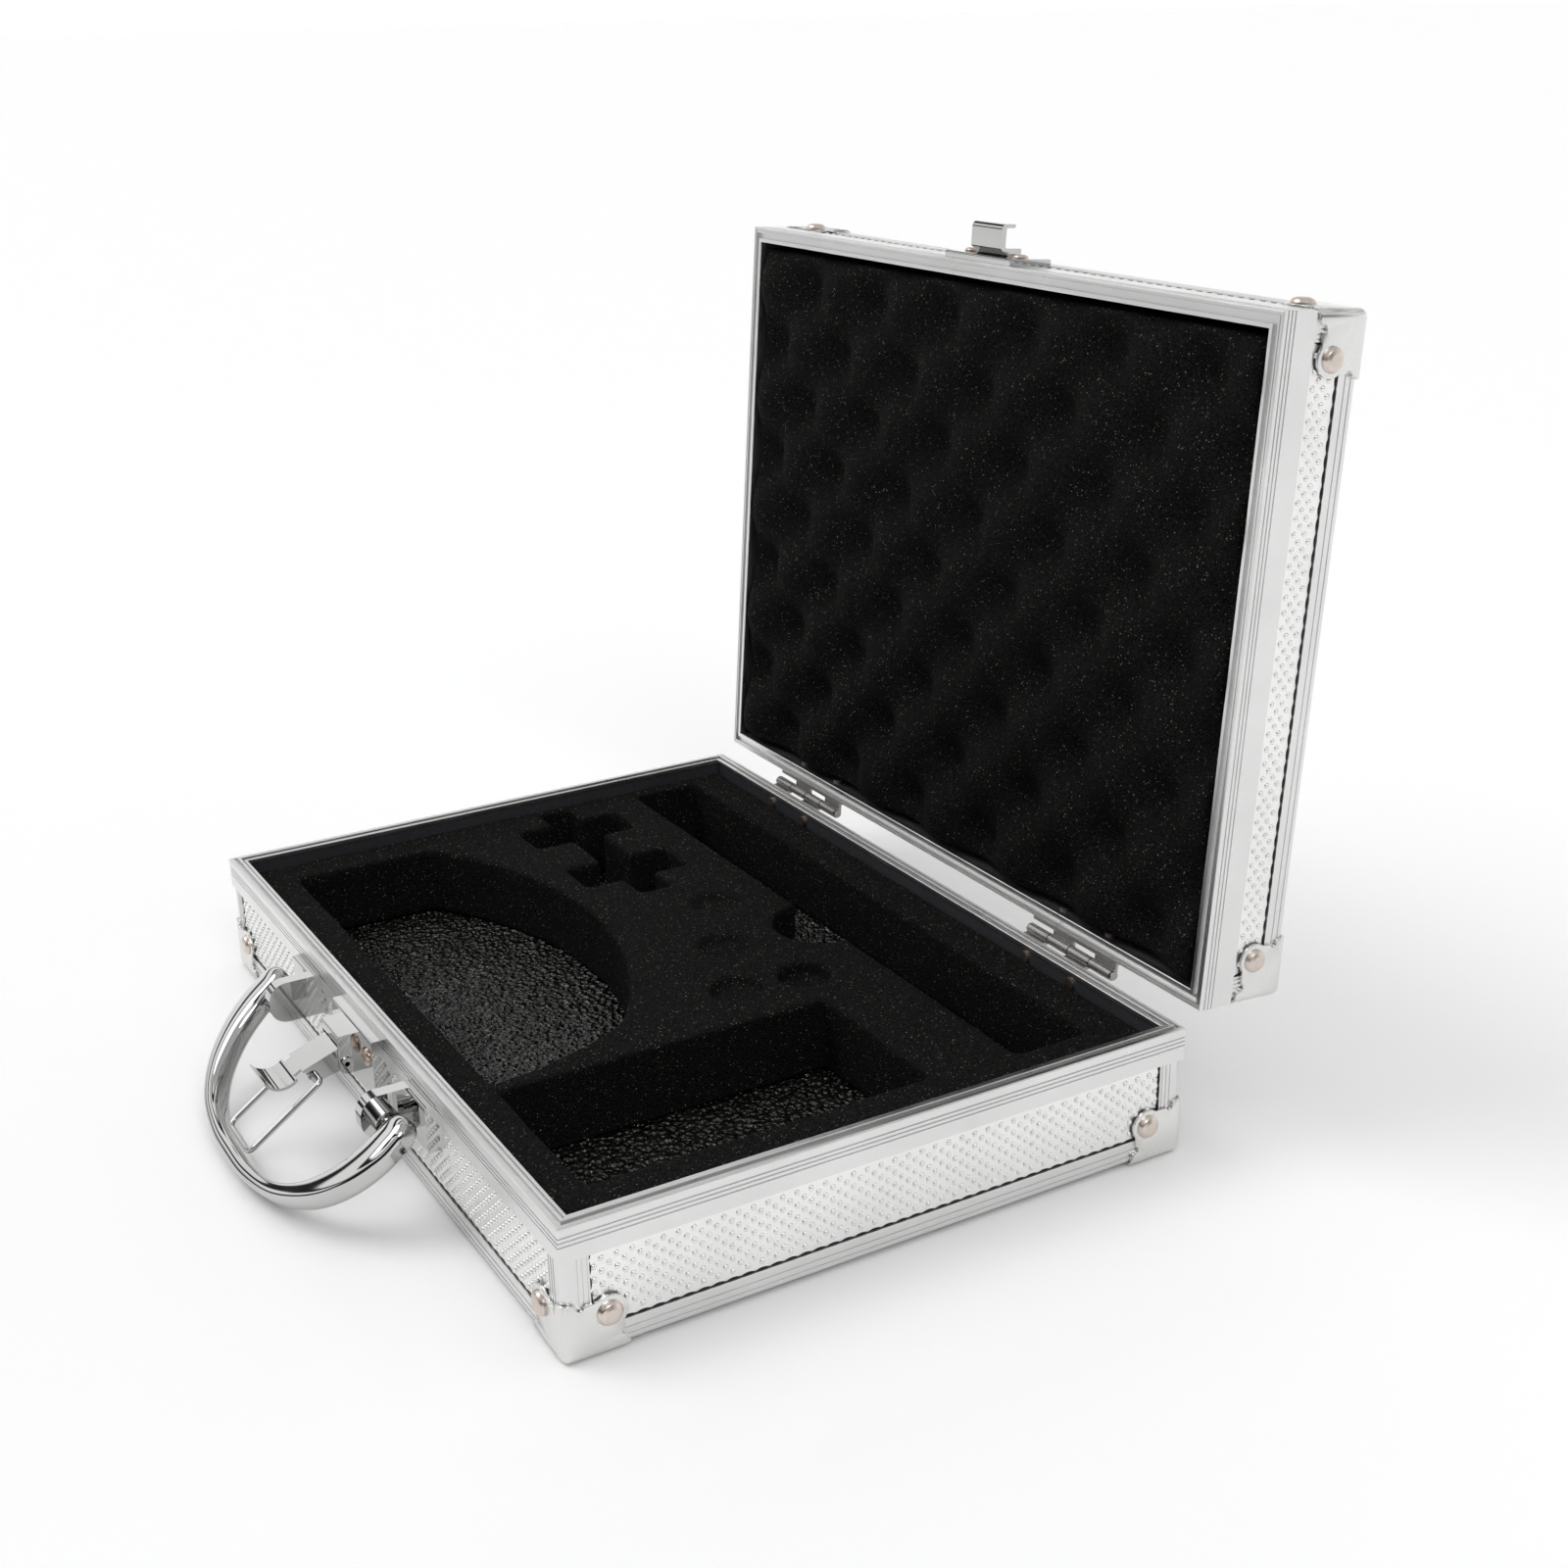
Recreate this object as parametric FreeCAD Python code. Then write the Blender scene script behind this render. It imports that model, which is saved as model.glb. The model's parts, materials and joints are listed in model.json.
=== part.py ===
import FreeCAD, Part
import math
import os

# Aluminium-framed attache case with foam inserts, standing open on its underside.
# X runs along the hinge, -Y is the front with the handle and latch, +Z is up.
# Two trays, the base and the lid, are drawn by one function: the lid is the same tray
# turned over and then swung open about the hinge line.

os.makedirs("parts", exist_ok=True)
V = FreeCAD.Vector
UP = V(0, 0, 1)
ALONG = V(1, 0, 0)

# ---- driving dimensions, mm ----
WIDTH = 280.0             # over the rim bands, along the hinge
DEPTH = 200.0             # over the rim bands, front to back
BASE_HEIGHT = 40.7        # floor to the base's rim plane
CLOSED_HEIGHT = 72.0      # floor to the top of the shut lid
RIM_GAP = 0.3             # between the two rims when the case is shut
LID_HEIGHT = CLOSED_HEIGHT - BASE_HEIGHT - RIM_GAP
LID_OPEN = 94.36          # degrees from shut to the open stop
HINGE_Y = DEPTH / 2 + 4.1
HINGE_Z = 40.5

BASE_BAND = 10.2          # how far the base's rim band reaches down its wall
LID_BAND = 11.8
RIM_WIDTH = 5.2
RIM_SHELL = 1.1           # thickness of the band
GROOVE_DEPTH = 0.35

TRIM_INSET = 0.5          # posts and rails stand this far inside the band's face
TRIM_LEG = 8.4            # leg length of posts and rails, from the corner
TRIM_RADIUS = 2.0
RAIL_TOP = 8.2
BOARD_INSET = 1.5         # outer face of the stiff boards
BOARD_END = 4.1           # inner face of the stiff boards
SKIN = BOARD_INSET - RIM_SHELL
FLOOR_OUT = 1.5           # outer face of the floor skin
FLOOR_IN = FLOOR_OUT + SKIN + BOARD_END - BOARD_INSET
LINER = 0.8
RIM_SEAT = 1.6            # rim plane down to the top of the boards, base
LID_RIM_SEAT = 2.0

CAP_SHEET = 0.9
CAP_REACH = 18.8          # length of the cap's level tongues from the corner
CAP_RISE = 17.8           # length of its upright tongue
CAP_TONGUE = 4.4
CAP_LOBE = 5.1
CAP_RIVET = 13.4          # rivet centre from the upright edge
CAP_RIVET_Z = 12.2        # rivet centre from the floor
CAP_RADIUS = 2.4
RIVET_HEAD = 3.6
RIVET_RISE = 1.7

FOAM_GAP = 5.8            # foam block inside the band's face
PAD_TOP = 12.0            # top of the floor pad under the cut foam
FOAM_TOP = 36.0
LID_FOAM_FACE = 36.9      # crest plane of the lid foam, case shut
LID_FOAM_GAP = 7.5

HINGE_X = 80.5            # centre of each hinge from the middle
HINGE_LENGTH = 42.0
KNUCKLES = 4
KNUCKLE_R = 1.8
KNUCKLE_GAP = 0.4
PIN_R = 0.8
PIN_PLAY = 0.05
LEAF = 1.0                # leaf plate thickness
HINGE_RIVET_X = 11.5
HINGE_RIVET_Z = 36.4

PIVOT_Y = -110.9          # handle pivot
PIVOT_Z = 29.2
HANDLE_DROOP = 38.7       # degrees below level
HANDLE_HALF = 4.0         # half the bar's height
HANDLE_CHAMFER = 1.3
HANDLE_END = 5.2          # how far the eyes reach behind the pivot
HANDLE_PIN_R = 2.2
PIN_START = 41.2          # inner end of each pivot pin, inside the bracket's arm
PIN_END = 59.0
BORE_END = 59.4           # blind end of the bore in each eye
ARM_IN = 40.0             # inner face of the bracket arm
ARM_OUT = 44.5
FLANGE_OUT = 58.5
BRACKET_LOW = 22.0
BRACKET_HIGH = 36.2
BRACKET_SCREW_Z = 27.4
BRACKET_NOSE = 6.4
ARM_LOW = 22.8

LATCH_HALF = 17.5         # half width of latch and catch plates
PLATE_FRONT = -104.0
LATCH_LOW = 18.5
LATCH_RIVET_Z = 32.0
LATCH_HIGH = 38.6
CHANNEL_HALF = 7.6
CHANNEL_WALL = 1.0
CHANNEL_FRONT = -110.8
CHANNEL_LOW = 25.4
CHANNEL_HIGH = 38.0
APRON_LOW = 35.0          # lower edge of the channel's front apron, above the lever
LEVER_Y = -108.7          # lever pivot
LEVER_Z = 28.7
LEVER_DROOP = 20.0
LEVER_HALF = 6.3
LEVER_TOP = 5.2           # top plate above the pivot line
LEVER_SHEET = 0.9
LEVER_PIN_R = 1.3
BAIL_PIVOT_S = 9.2        # bail pivot along the lever from its own pivot
BAIL_PIVOT_N = 0.8
BAIL_LENGTH = 28.8
BAIL_DROOP = 35.5
BAIL_HALF = 9.8
WIRE_R = 0.9
HOOK_HALF = 8.0
BAR_Z = 48.3              # height of the bail's bar in the shut latch
BAR_Y = -109.5
CATCH_FRONT = -102.2      # front face of the catch plate
CATCH_LOW = 42.2
CATCH_HIGH = 58.0

SIDES = {
    "front": (0, V(0, -DEPTH / 2, 0), WIDTH),
    "right": (90, V(WIDTH / 2, 0, 0), DEPTH),
    "back": (180, V(0, DEPTH / 2, 0), WIDTH),
    "left": (270, V(-WIDTH / 2, 0, 0), DEPTH),
}
CORNERS = {
    "front_left": (0, V(-WIDTH / 2, -DEPTH / 2, 0)),
    "front_right": (90, V(WIDTH / 2, -DEPTH / 2, 0)),
    "back_right": (180, V(WIDTH / 2, DEPTH / 2, 0)),
    "back_left": (270, V(-WIDTH / 2, DEPTH / 2, 0)),
}


# ---- drawing helpers ----
def outline(points):
    """A face in XY from its corners; a third number rounds that corner."""
    count = len(points)
    ends = []
    for i, corner in enumerate(points):
        here = V(corner[0], corner[1], 0)
        radius = corner[2] if len(corner) > 2 else 0
        if not radius:
            ends.append((here, None, here))
            continue
        back = V(points[i - 1][0], points[i - 1][1], 0).sub(here).normalize()
        ahead = V(points[(i + 1) % count][0], points[(i + 1) % count][1], 0).sub(here).normalize()
        half = back.getAngle(ahead) / 2
        run = radius / math.tan(half)
        middle = back.add(ahead).normalize() * (radius / math.sin(half) - radius)
        ends.append((here + back * run, here + middle, here + ahead * run))
    edges = []
    for i in range(count):
        start, middle, end = ends[i]
        if middle:
            edges.append(Part.Arc(start, middle, end).toShape())
        following = ends[(i + 1) % count][0]
        if end.distanceToPoint(following) > 1e-6:
            edges.append(Part.makeLine(end, following))
    return Part.Face(Part.Wire(edges))


def box(x, y, z):
    """A box from three (low, high) pairs."""
    return Part.makeBox(x[1] - x[0], y[1] - y[0], z[1] - z[0], V(x[0], y[0], z[0]))


def rod(radius, start, end):
    """A cylinder between two points."""
    return Part.makeCylinder(radius, end.distanceToPoint(start), start, end - start)


def fuse(shapes):
    """All shapes joined into one."""
    whole = shapes[0]
    if len(shapes) > 1:
        whole = whole.multiFuse(shapes[1:])
    return whole.removeSplitter()


def drilled(shape, tools):
    """The shape with every tool cut from it."""
    return shape.cut(Part.makeCompound(tools)) if tools else shape


def across(points, low, high):
    """A plate drawn in (y, z) and extruded along X from low to high."""
    face = outline(points)
    face.transformShape(FreeCAD.Matrix(0, 0, 1, low, 1, 0, 0, 0, 0, 1, 0, 0, 0, 0, 0, 1))
    return face.extrude(V(high - low, 0, 0))


def to_side(shape, side):
    """Moves a piece drawn on the front wall's local frame (y inwards) to its wall."""
    angle, place, _ = SIDES[side]
    moved = shape.copy()
    moved.rotate(V(0, 0, 0), UP, angle)
    moved.translate(place)
    return moved


def to_corner(shape, corner):
    """Moves a piece drawn at the local front left corner to its corner."""
    angle, place = CORNERS[corner]
    moved = shape.copy()
    moved.rotate(V(0, 0, 0), UP, angle)
    moved.translate(place)
    return moved


def four_corners(shape):
    """The same piece at each corner, as separate solids."""
    return [to_corner(shape, corner) for corner in CORNERS]


def side_bar(points, side, short=0.0):
    """A profile in (inset, z) run along one wall, short of each end by the given length."""
    half = SIDES[side][2] / 2 - short
    return to_side(across(points, -half, half), side)


def mitred_ring(points):
    """A profile in (inset, z) run round all four walls with mitred corners."""
    reach = 30.0
    low, high = -10.0, 120.0
    bars = []
    for side, (_, _, length) in SIDES.items():
        half = length / 2
        wedge = outline([(-half, 0), (half, 0), (half - reach, reach), (reach - half, reach)])
        wedge.translate(V(0, 0, low))
        wedge = wedge.extrude(V(0, 0, high - low))
        bars.append(to_side(across(points, -half, half).common(wedge), side))
    return fuse(bars)


def turned(points):
    """A face in (r, z) turned about the Z axis."""
    face = outline(points)
    face.rotate(V(0, 0, 0), ALONG, 90)
    return face.revolve(V(0, 0, 0), UP, 360)


def aimed(shape, place, direction):
    """Points a piece drawn along +Z in another direction and puts it in place."""
    moved = shape.copy()
    moved.Placement = FreeCAD.Placement(place, FreeCAD.Rotation(UP, direction)).multiply(moved.Placement)
    return moved


def dome_rivet(head, rise, shank, grip, tail=0.0, tail_rise=0.8):
    """A rivet along +Z: domed head above z = 0, shank and flattened tail below."""
    flat = head * 0.5
    shape = turned([(0, 0), (head, 0), (head, rise * 0.25), (head * 0.82, rise * 0.75, head * 0.25),
                    (flat, rise), (0, rise)])
    pieces = [shape, rod(shank, V(0, 0, -grip), V(0, 0, rise * 0.5))]
    if tail:
        pieces.append(rod(tail, V(0, 0, -grip - tail_rise), V(0, 0, -grip)))
    return fuse(pieces)


def drill(radius, place, direction, reach):
    """A cutting rod through a point, both ways along a direction."""
    return rod(radius, place - direction * reach, place + direction * reach)


# ---- rim extrusions ----
def rim_profile(height, band, seat, grooves, ridge):
    """The rim's section in (inset, z): the outer face with its fine grooves, then the top."""
    points = [(0, height - band)]
    for level in sorted(grooves, reverse=True):
        z = height - level
        points += [(0, z - 0.25), (GROOVE_DEPTH, z - 0.25), (GROOVE_DEPTH, z + 0.25), (0, z + 0.25)]
    points += [(0, height, 0.5)] + ridge
    points += [(RIM_WIDTH, height, 0.4), (RIM_WIDTH, height - seat), (RIM_SHELL, height - seat),
               (RIM_SHELL, height - band)]
    return points


def base_ridge(height):
    """Outer lip, groove, tongue, groove and inner lip of the base's rim."""
    return [(1.3, height), (1.3, height - 0.9), (2.3, height - 0.9), (2.3, height + 0.6, 0.3),
            (3.4, height + 0.6, 0.3), (3.4, height - 0.9), (4.1, height - 0.9), (4.1, height)]


def lid_ridge(height):
    """Outer lip, fine groove, wide channel for the tongue and inner lip of the lid's rim."""
    return [(1.0, height), (1.0, height - 0.4), (1.35, height - 0.4), (1.35, height),
            (1.9, height), (1.9, height - 1.3), (3.8, height - 1.3), (3.8, height)]


# ---- corner caps ----
def cap_outline(rivet_b, reach_b):
    """One face of a corner cap: two edge tongues, a round lobe and a notch beside each tongue."""
    tongue = outline([(0, 0), (CAP_REACH, 0), (CAP_REACH, CAP_TONGUE, 1.6), (0, CAP_TONGUE)])
    other = outline([(0, 0), (CAP_TONGUE, 0), (CAP_TONGUE, reach_b, 1.6), (0, reach_b)])
    lobe = Part.Face(Part.Wire(Part.makeCircle(CAP_LOBE, V(CAP_RIVET, rivet_b, 0))))
    shoulder_a = CAP_RIVET + CAP_LOBE - 0.9
    shoulder_b = rivet_b + CAP_LOBE - 0.9
    body = outline([(0, 0), (shoulder_a - 0.6, 0), (shoulder_a, rivet_b), (CAP_RIVET, shoulder_b),
                    (0, shoulder_b - 0.6)])
    face = tongue.multiFuse([other, lobe, body])
    for centre in ((shoulder_a - 0.1, CAP_TONGUE + 0.9, 0), (CAP_TONGUE + 0.9, shoulder_b - 0.1, 0)):
        face = face.cut(Part.Face(Part.Wire(Part.makeCircle(1.1, V(*centre)))))
    return face.removeSplitter()


def corner_cap():
    """A pressed sheet cap for the local front left corner, holed for its three rivets."""
    out = TRIM_INSET - CAP_SHEET
    reach = 40.0

    def block(inset, floor, radius):
        shape = box((inset, reach), (inset, reach), (floor, reach))
        near = [edge for edge in shape.Edges
                if sum(abs(getattr(edge.CenterOfMass, axis) - low) < 1e-6
                       for axis, low in (("x", inset), ("y", inset), ("z", floor))) == 2]
        return shape.makeFillet(radius, near)

    shell = block(out, 0.0, CAP_RADIUS).cut(block(TRIM_INSET, CAP_SHEET, CAP_RADIUS - CAP_SHEET))
    thick = CAP_RADIUS + 0.3
    flat = cap_outline(CAP_RIVET_Z, CAP_RISE)
    floor_mask = cap_outline(CAP_RIVET, CAP_REACH)
    floor_mask.translate(V(out, out, -0.1))
    floor_mask = floor_mask.extrude(V(0, 0, thick))
    front_mask = flat.copy()
    front_mask.rotate(V(0, 0, 0), ALONG, 90)
    side_mask = front_mask.copy()
    side_mask.rotate(V(0, 0, 0), UP, 90)
    front_mask.translate(V(out, out - 0.1, 0))
    front_mask = front_mask.extrude(V(0, thick, 0))
    side_mask.translate(V(out - 0.1, out, 0))
    side_mask = side_mask.extrude(V(thick, 0, 0))
    cap = shell.common(floor_mask.multiFuse([front_mask, side_mask]))
    holes = [drill(1.7, place, direction, 3.0) for place, direction in cap_rivet_places()[:2]]
    holes.append(drill(2.6, *cap_rivet_places()[2], 3.0))
    return drilled(cap, holes)


def cap_rivet_places():
    """Seats and outward directions of one cap's rivets: front wall, side wall, floor."""
    out = TRIM_INSET - CAP_SHEET
    at = out + CAP_RIVET
    return [(V(at, out, CAP_RIVET_Z), V(0, -1, 0)), (V(out, at, CAP_RIVET_Z), V(-1, 0, 0)),
            (V(at, at, 0), V(0, 0, -1))]


def cap_rivets():
    """Two domed rivets for the walls and a flush one for the floor, at the local corner."""
    grip = BOARD_END + LINER - TRIM_INSET + CAP_SHEET
    domed = dome_rivet(RIVET_HEAD, RIVET_RISE, 1.6, grip, 2.4)
    places = cap_rivet_places()
    rivets = [aimed(domed, *places[0]), aimed(domed, *places[1])]
    flush = fuse([rod(2.5, V(0, 0, -0.85), V(0, 0, -0.05)), rod(1.6, V(0, 0, -FLOOR_IN), V(0, 0, -0.1)),
                  rod(2.4, V(0, 0, -FLOOR_IN - 0.8), V(0, 0, -FLOOR_IN))])
    rivets.append(aimed(flush, *places[2]))
    return rivets


def cap_drills(radius=1.65):
    """Cutters for every cap rivet's shank through skins, boards and liner."""
    return [to_corner(drill(radius, place, direction, 6.5), corner)
            for corner in CORNERS for place, direction in cap_rivet_places()]


# ---- a tray: base or lid before it is turned over ----
def tray(height, band, seat, grooves, ridge, seam, wall_drills):
    """Every sheet, board and trim piece of one half of the case, floor down."""
    top = height - seat - 0.1
    wall_top = height - band - 0.1
    pieces = {}

    rim = mitred_ring(rim_profile(height, band, seat, grooves, ridge))
    slot = box((seam, seam + 0.25), (DEPTH / 2 - RIM_WIDTH - 1, DEPTH / 2 + 1), (0, height + 5))
    pieces["rim_frame"] = drilled(rim, [slot] + wall_drills)

    post = [(TRIM_INSET, TRIM_INSET, TRIM_RADIUS)]
    for at in (4.6, 6.0, 7.4):
        post += [(at, TRIM_INSET), (at, TRIM_INSET + 0.25), (at + 0.5, TRIM_INSET + 0.25),
                 (at + 0.5, TRIM_INSET)]
    post += [(TRIM_LEG, TRIM_INSET), (TRIM_LEG, RIM_SHELL), (BOARD_END, RIM_SHELL)]
    post += [(b, a) for a, b in reversed([(p[0], p[1]) for p in post[1:]])]
    post.insert(len(post) // 2 + 1, (BOARD_END, BOARD_END))
    legs = outline(post)
    legs.translate(V(0, 0, FLOOR_IN))
    legs = legs.extrude(V(0, 0, wall_top - FLOOR_IN))
    core = box((RIM_SHELL, BOARD_END), (RIM_SHELL, BOARD_END), (wall_top, top))
    pieces["corner_posts"] = Part.makeCompound(four_corners(fuse([legs, core])))

    rail = [(TRIM_INSET, CAP_SHEET, TRIM_RADIUS), (TRIM_LEG, CAP_SHEET), (TRIM_LEG, FLOOR_OUT),
            (BOARD_END, FLOOR_OUT), (BOARD_END, FLOOR_IN), (RIM_SHELL, FLOOR_IN), (RIM_SHELL, RAIL_TOP),
            (TRIM_INSET, RAIL_TOP)]
    for z in (5.6, 3.6):
        rail += [(TRIM_INSET, z + 0.25), (TRIM_INSET + 0.25, z + 0.25), (TRIM_INSET + 0.25, z - 0.25),
                 (TRIM_INSET, z - 0.25)]
    pieces["edge_rails"] = Part.makeCompound([side_bar(rail, side, TRIM_LEG) for side in SIDES])

    drills = cap_drills() + wall_drills
    skin = [(RIM_SHELL, FLOOR_IN), (BOARD_INSET, FLOOR_IN), (BOARD_INSET, top), (RIM_SHELL, top)]
    skins = [side_bar(skin, side, BOARD_END) for side in SIDES]
    pieces["wall_skins"] = drilled(Part.makeCompound(skins), drills)
    board = [(BOARD_INSET, FLOOR_IN), (BOARD_END, FLOOR_IN), (BOARD_END, top), (BOARD_INSET, top)]
    for side in SIDES:
        pieces[side + "_board"] = drilled(side_bar(board, side, BOARD_END), drills)
    inner_x = (-WIDTH / 2 + BOARD_END, WIDTH / 2 - BOARD_END)
    inner_y = (-DEPTH / 2 + BOARD_END, DEPTH / 2 - BOARD_END)
    pieces["floor_skin"] = drilled(box(inner_x, inner_y, (FLOOR_OUT, FLOOR_OUT + SKIN)), cap_drills())
    pieces["floor_board"] = drilled(box(inner_x, inner_y, (FLOOR_OUT + SKIN, FLOOR_IN)), cap_drills())

    liner = box(inner_x, inner_y, (FLOOR_IN, top))
    hollow = box((inner_x[0] + LINER, inner_x[1] - LINER), (inner_y[0] + LINER, inner_y[1] - LINER),
                 (0, height))
    pieces["liner"] = drilled(liner.cut(hollow), drills)

    pieces["corner_caps"] = Part.makeCompound(four_corners(corner_cap()))
    pieces["cap_rivets"] = Part.makeCompound([to_corner(rivet, corner)
                                              for corner in CORNERS for rivet in cap_rivets()])
    return pieces


# ---- foam ----
def base_foam():
    """The cut foam block: a fan-shaped pocket, a deep tray, a long channel and small cut-outs."""
    half_x = WIDTH / 2 - FOAM_GAP
    half_y = DEPTH / 2 - FOAM_GAP
    block = box((-half_x, half_x), (-half_y, half_y), (PAD_TOP, FOAM_TOP))
    deep = FOAM_TOP - PAD_TOP + 2

    def pocket(face, depth=deep):
        cutter = face.copy()
        cutter.translate(V(0, 0, FOAM_TOP - depth))
        return cutter.extrude(V(0, 0, depth + 1))

    def fan():
        """Straight front and left walls, an arched back and a curved right wall."""
        corners = [V(-120, -81.5, 0), V(-120, -33, 0), V(39, -33, 0), V(54, -81.5, 0)]
        back = Part.Arc(corners[1], V(-43, -6.5, 0), corners[2]).toShape()
        right = Part.Arc(corners[2], V(49.5, -56, 0), corners[3]).toShape()
        return Part.Face(Part.Wire([Part.makeLine(corners[0], corners[1]), back, right,
                                    Part.makeLine(corners[3], corners[0])]))

    def plate(x, y, radius=2.0):
        return outline([(x[0], y[0], radius), (x[1], y[0], radius), (x[1], y[1], radius),
                        (x[0], y[1], radius)])

    def disc(x, y, radius):
        return Part.Face(Part.Wire(Part.makeCircle(radius, V(x, y, 0))))

    cutters = [pocket(fan()), pocket(plate((59.5, 117), (-81.5, 26))),
               pocket(plate((-127.5, 119), (55, 80))), pocket(disc(10, 55, 16)),
               pocket(plate((-130, -44), (15.5, 27), 1.5)),
               pocket(plate((-117, -99.5), (1.5, 40.5), 1.5)),
               pocket(plate((-76, -58), (1.5, 40.5), 1.5))]
    for x, y, depth in ((-22, 33, 2.0), (41, 30, 5.0), (9, 19, 2.5), (39, 7, 3.0)):
        cutters.append(pocket(disc(x, y, 8.2), depth))
    return drilled(block, cutters)


def base_pad():
    """The soft floor under the cut foam, relieved over the rivet tails."""
    half_x = WIDTH / 2 - FOAM_GAP
    half_y = DEPTH / 2 - FOAM_GAP
    pad = box((-half_x, half_x), (-half_y, half_y), (FLOOR_IN, PAD_TOP))
    at = TRIM_INSET - CAP_SHEET + CAP_RIVET
    reliefs = [to_corner(rod(2.8, V(at, at, 0), V(at, at, FLOOR_IN + 1.2)), corner) for corner in CORNERS]
    return drilled(pad, reliefs)


def lid_foam():
    """The plain block that the lid's egg-crate foam fills, crests included, in tray coordinates."""
    half_x = WIDTH / 2 - LID_FOAM_GAP
    half_y = DEPTH / 2 - LID_FOAM_GAP
    face = CLOSED_HEIGHT - LID_FOAM_FACE
    return box((-half_x, half_x), (-half_y, half_y), (FLOOR_IN + 1.0, face))


# ---- hinges ----
def hinge_leaf(centre, lid_side):
    """One leaf with its two knuckles: a riveted plate, a web and rolled barrels on the pin line."""
    pitch = HINGE_LENGTH / KNUCKLES
    first = 1 if lid_side else 0
    start = centre - HINGE_LENGTH / 2
    back = DEPTH / 2
    if lid_side:
        web = (HINGE_Z + KNUCKLE_R - LEAF, HINGE_Z + KNUCKLE_R)
        plate = (web[0], web[0] + 8.2)
    else:
        web = (HINGE_Z - KNUCKLE_R, HINGE_Z - KNUCKLE_R + LEAF)
        plate = (web[1] - 7.4, web[1])
    shapes = [box((start, start + HINGE_LENGTH), (back, back + LEAF), plate)]
    for i in range(first, KNUCKLES, 2):
        low = start + i * pitch + KNUCKLE_GAP / 2
        high = low + pitch - KNUCKLE_GAP
        shapes.append(box((low, high), (back, HINGE_Y), web))
        shapes.append(rod(KNUCKLE_R, V(low, HINGE_Y, HINGE_Z), V(high, HINGE_Y, HINGE_Z)))
    leaf = fuse(shapes)
    bore = rod(PIN_R + PIN_PLAY, V(start - 1, HINGE_Y, HINGE_Z),
               V(start + HINGE_LENGTH + 1, HINGE_Y, HINGE_Z))
    rivet_z = lid_hinge_rivet_z() if lid_side else HINGE_RIVET_Z
    drills = [drill(1.3, V(centre + side * HINGE_RIVET_X, back, rivet_z), V(0, 1, 0), 3)
              for side in (-1, 1)]
    return drilled(leaf, [bore] + drills)


def lid_hinge_rivet_z():
    """Height of the lid leaf's rivets, case shut."""
    return HINGE_Z + KNUCKLE_R - LEAF + 4.9


def hinge_pin(centre):
    """The pin through one hinge's knuckles, with a small head at each end."""
    start = centre - HINGE_LENGTH / 2
    end = start + HINGE_LENGTH
    head = 0.5
    return fuse([rod(PIN_R, V(start - head, HINGE_Y, HINGE_Z), V(end + head, HINGE_Y, HINGE_Z)),
                 rod(1.4, V(start - head, HINGE_Y, HINGE_Z), V(start, HINGE_Y, HINGE_Z)),
                 rod(1.4, V(end, HINGE_Y, HINGE_Z), V(end + head, HINGE_Y, HINGE_Z))])


def hinge_rivets(z):
    """The rivets that hold one half's leaves to its back wall."""
    rivet = dome_rivet(2.3, 0.9, 1.2, LEAF + BOARD_END + LINER, 1.9)
    return [aimed(rivet, V(side * HINGE_X + shift * HINGE_RIVET_X, DEPTH / 2 + LEAF, z), V(0, 1, 0))
            for side in (-1, 1) for shift in (-1, 1)]


# ---- handle ----
def handle_bracket(side):
    """A cast bracket: a flange on the wall, an arm with a round nose and a boss on the pivot."""
    low, high = sorted((side * ARM_OUT, side * FLANGE_OUT))
    flange = across([(-100, BRACKET_LOW), (-103.3, BRACKET_LOW, 0.8), (-103.3, BRACKET_HIGH, 0.8),
                     (-100, BRACKET_HIGH)], low, high)
    inner, outer = sorted((side * ARM_IN, side * ARM_OUT))
    nose = across([(-100, ARM_LOW), (PIVOT_Y - BRACKET_NOSE, ARM_LOW, BRACKET_NOSE - 0.6),
                   (PIVOT_Y - BRACKET_NOSE, BRACKET_HIGH, BRACKET_NOSE - 0.6), (-100, BRACKET_HIGH)],
                  inner, outer)
    whole = sorted((side * ARM_IN, side * FLANGE_OUT))
    seat = box(whole, (-100, -DEPTH / 2 + RIM_SHELL), (BRACKET_LOW, BASE_HEIGHT - BASE_BAND - 0.1))
    at = side * ARM_OUT
    foot = ARM_LOW + 1.0
    gusset = Part.makePolygon([V(at, -103.2, foot), V(at, -106.4, foot), V(at + side * 3.2, -103.2, foot),
                               V(at, -103.2, foot)])
    gusset = Part.Face(gusset).extrude(V(0, 0, BRACKET_HIGH - 1.0 - foot))
    boss = rod(3.9, V(side * (ARM_OUT - 1), PIVOT_Y, PIVOT_Z), V(side * 49.6, PIVOT_Y, PIVOT_Z))
    bracket = fuse([flange, nose, seat, gusset, boss])
    pivot = rod(HANDLE_PIN_R, V(side * PIN_START, PIVOT_Y, PIVOT_Z), V(side * 70, PIVOT_Y, PIVOT_Z))
    screws = [drill(1.25, place, V(0, 1, 0), 2.4) for place in bracket_screw_places(side)]
    return drilled(bracket, [pivot] + screws)


def bracket_screw_places(side):
    """Where the two screws from inside enter one bracket."""
    return [V(side * x, -100, BRACKET_SCREW_Z) for x in (47.5, 55.5)]


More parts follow.
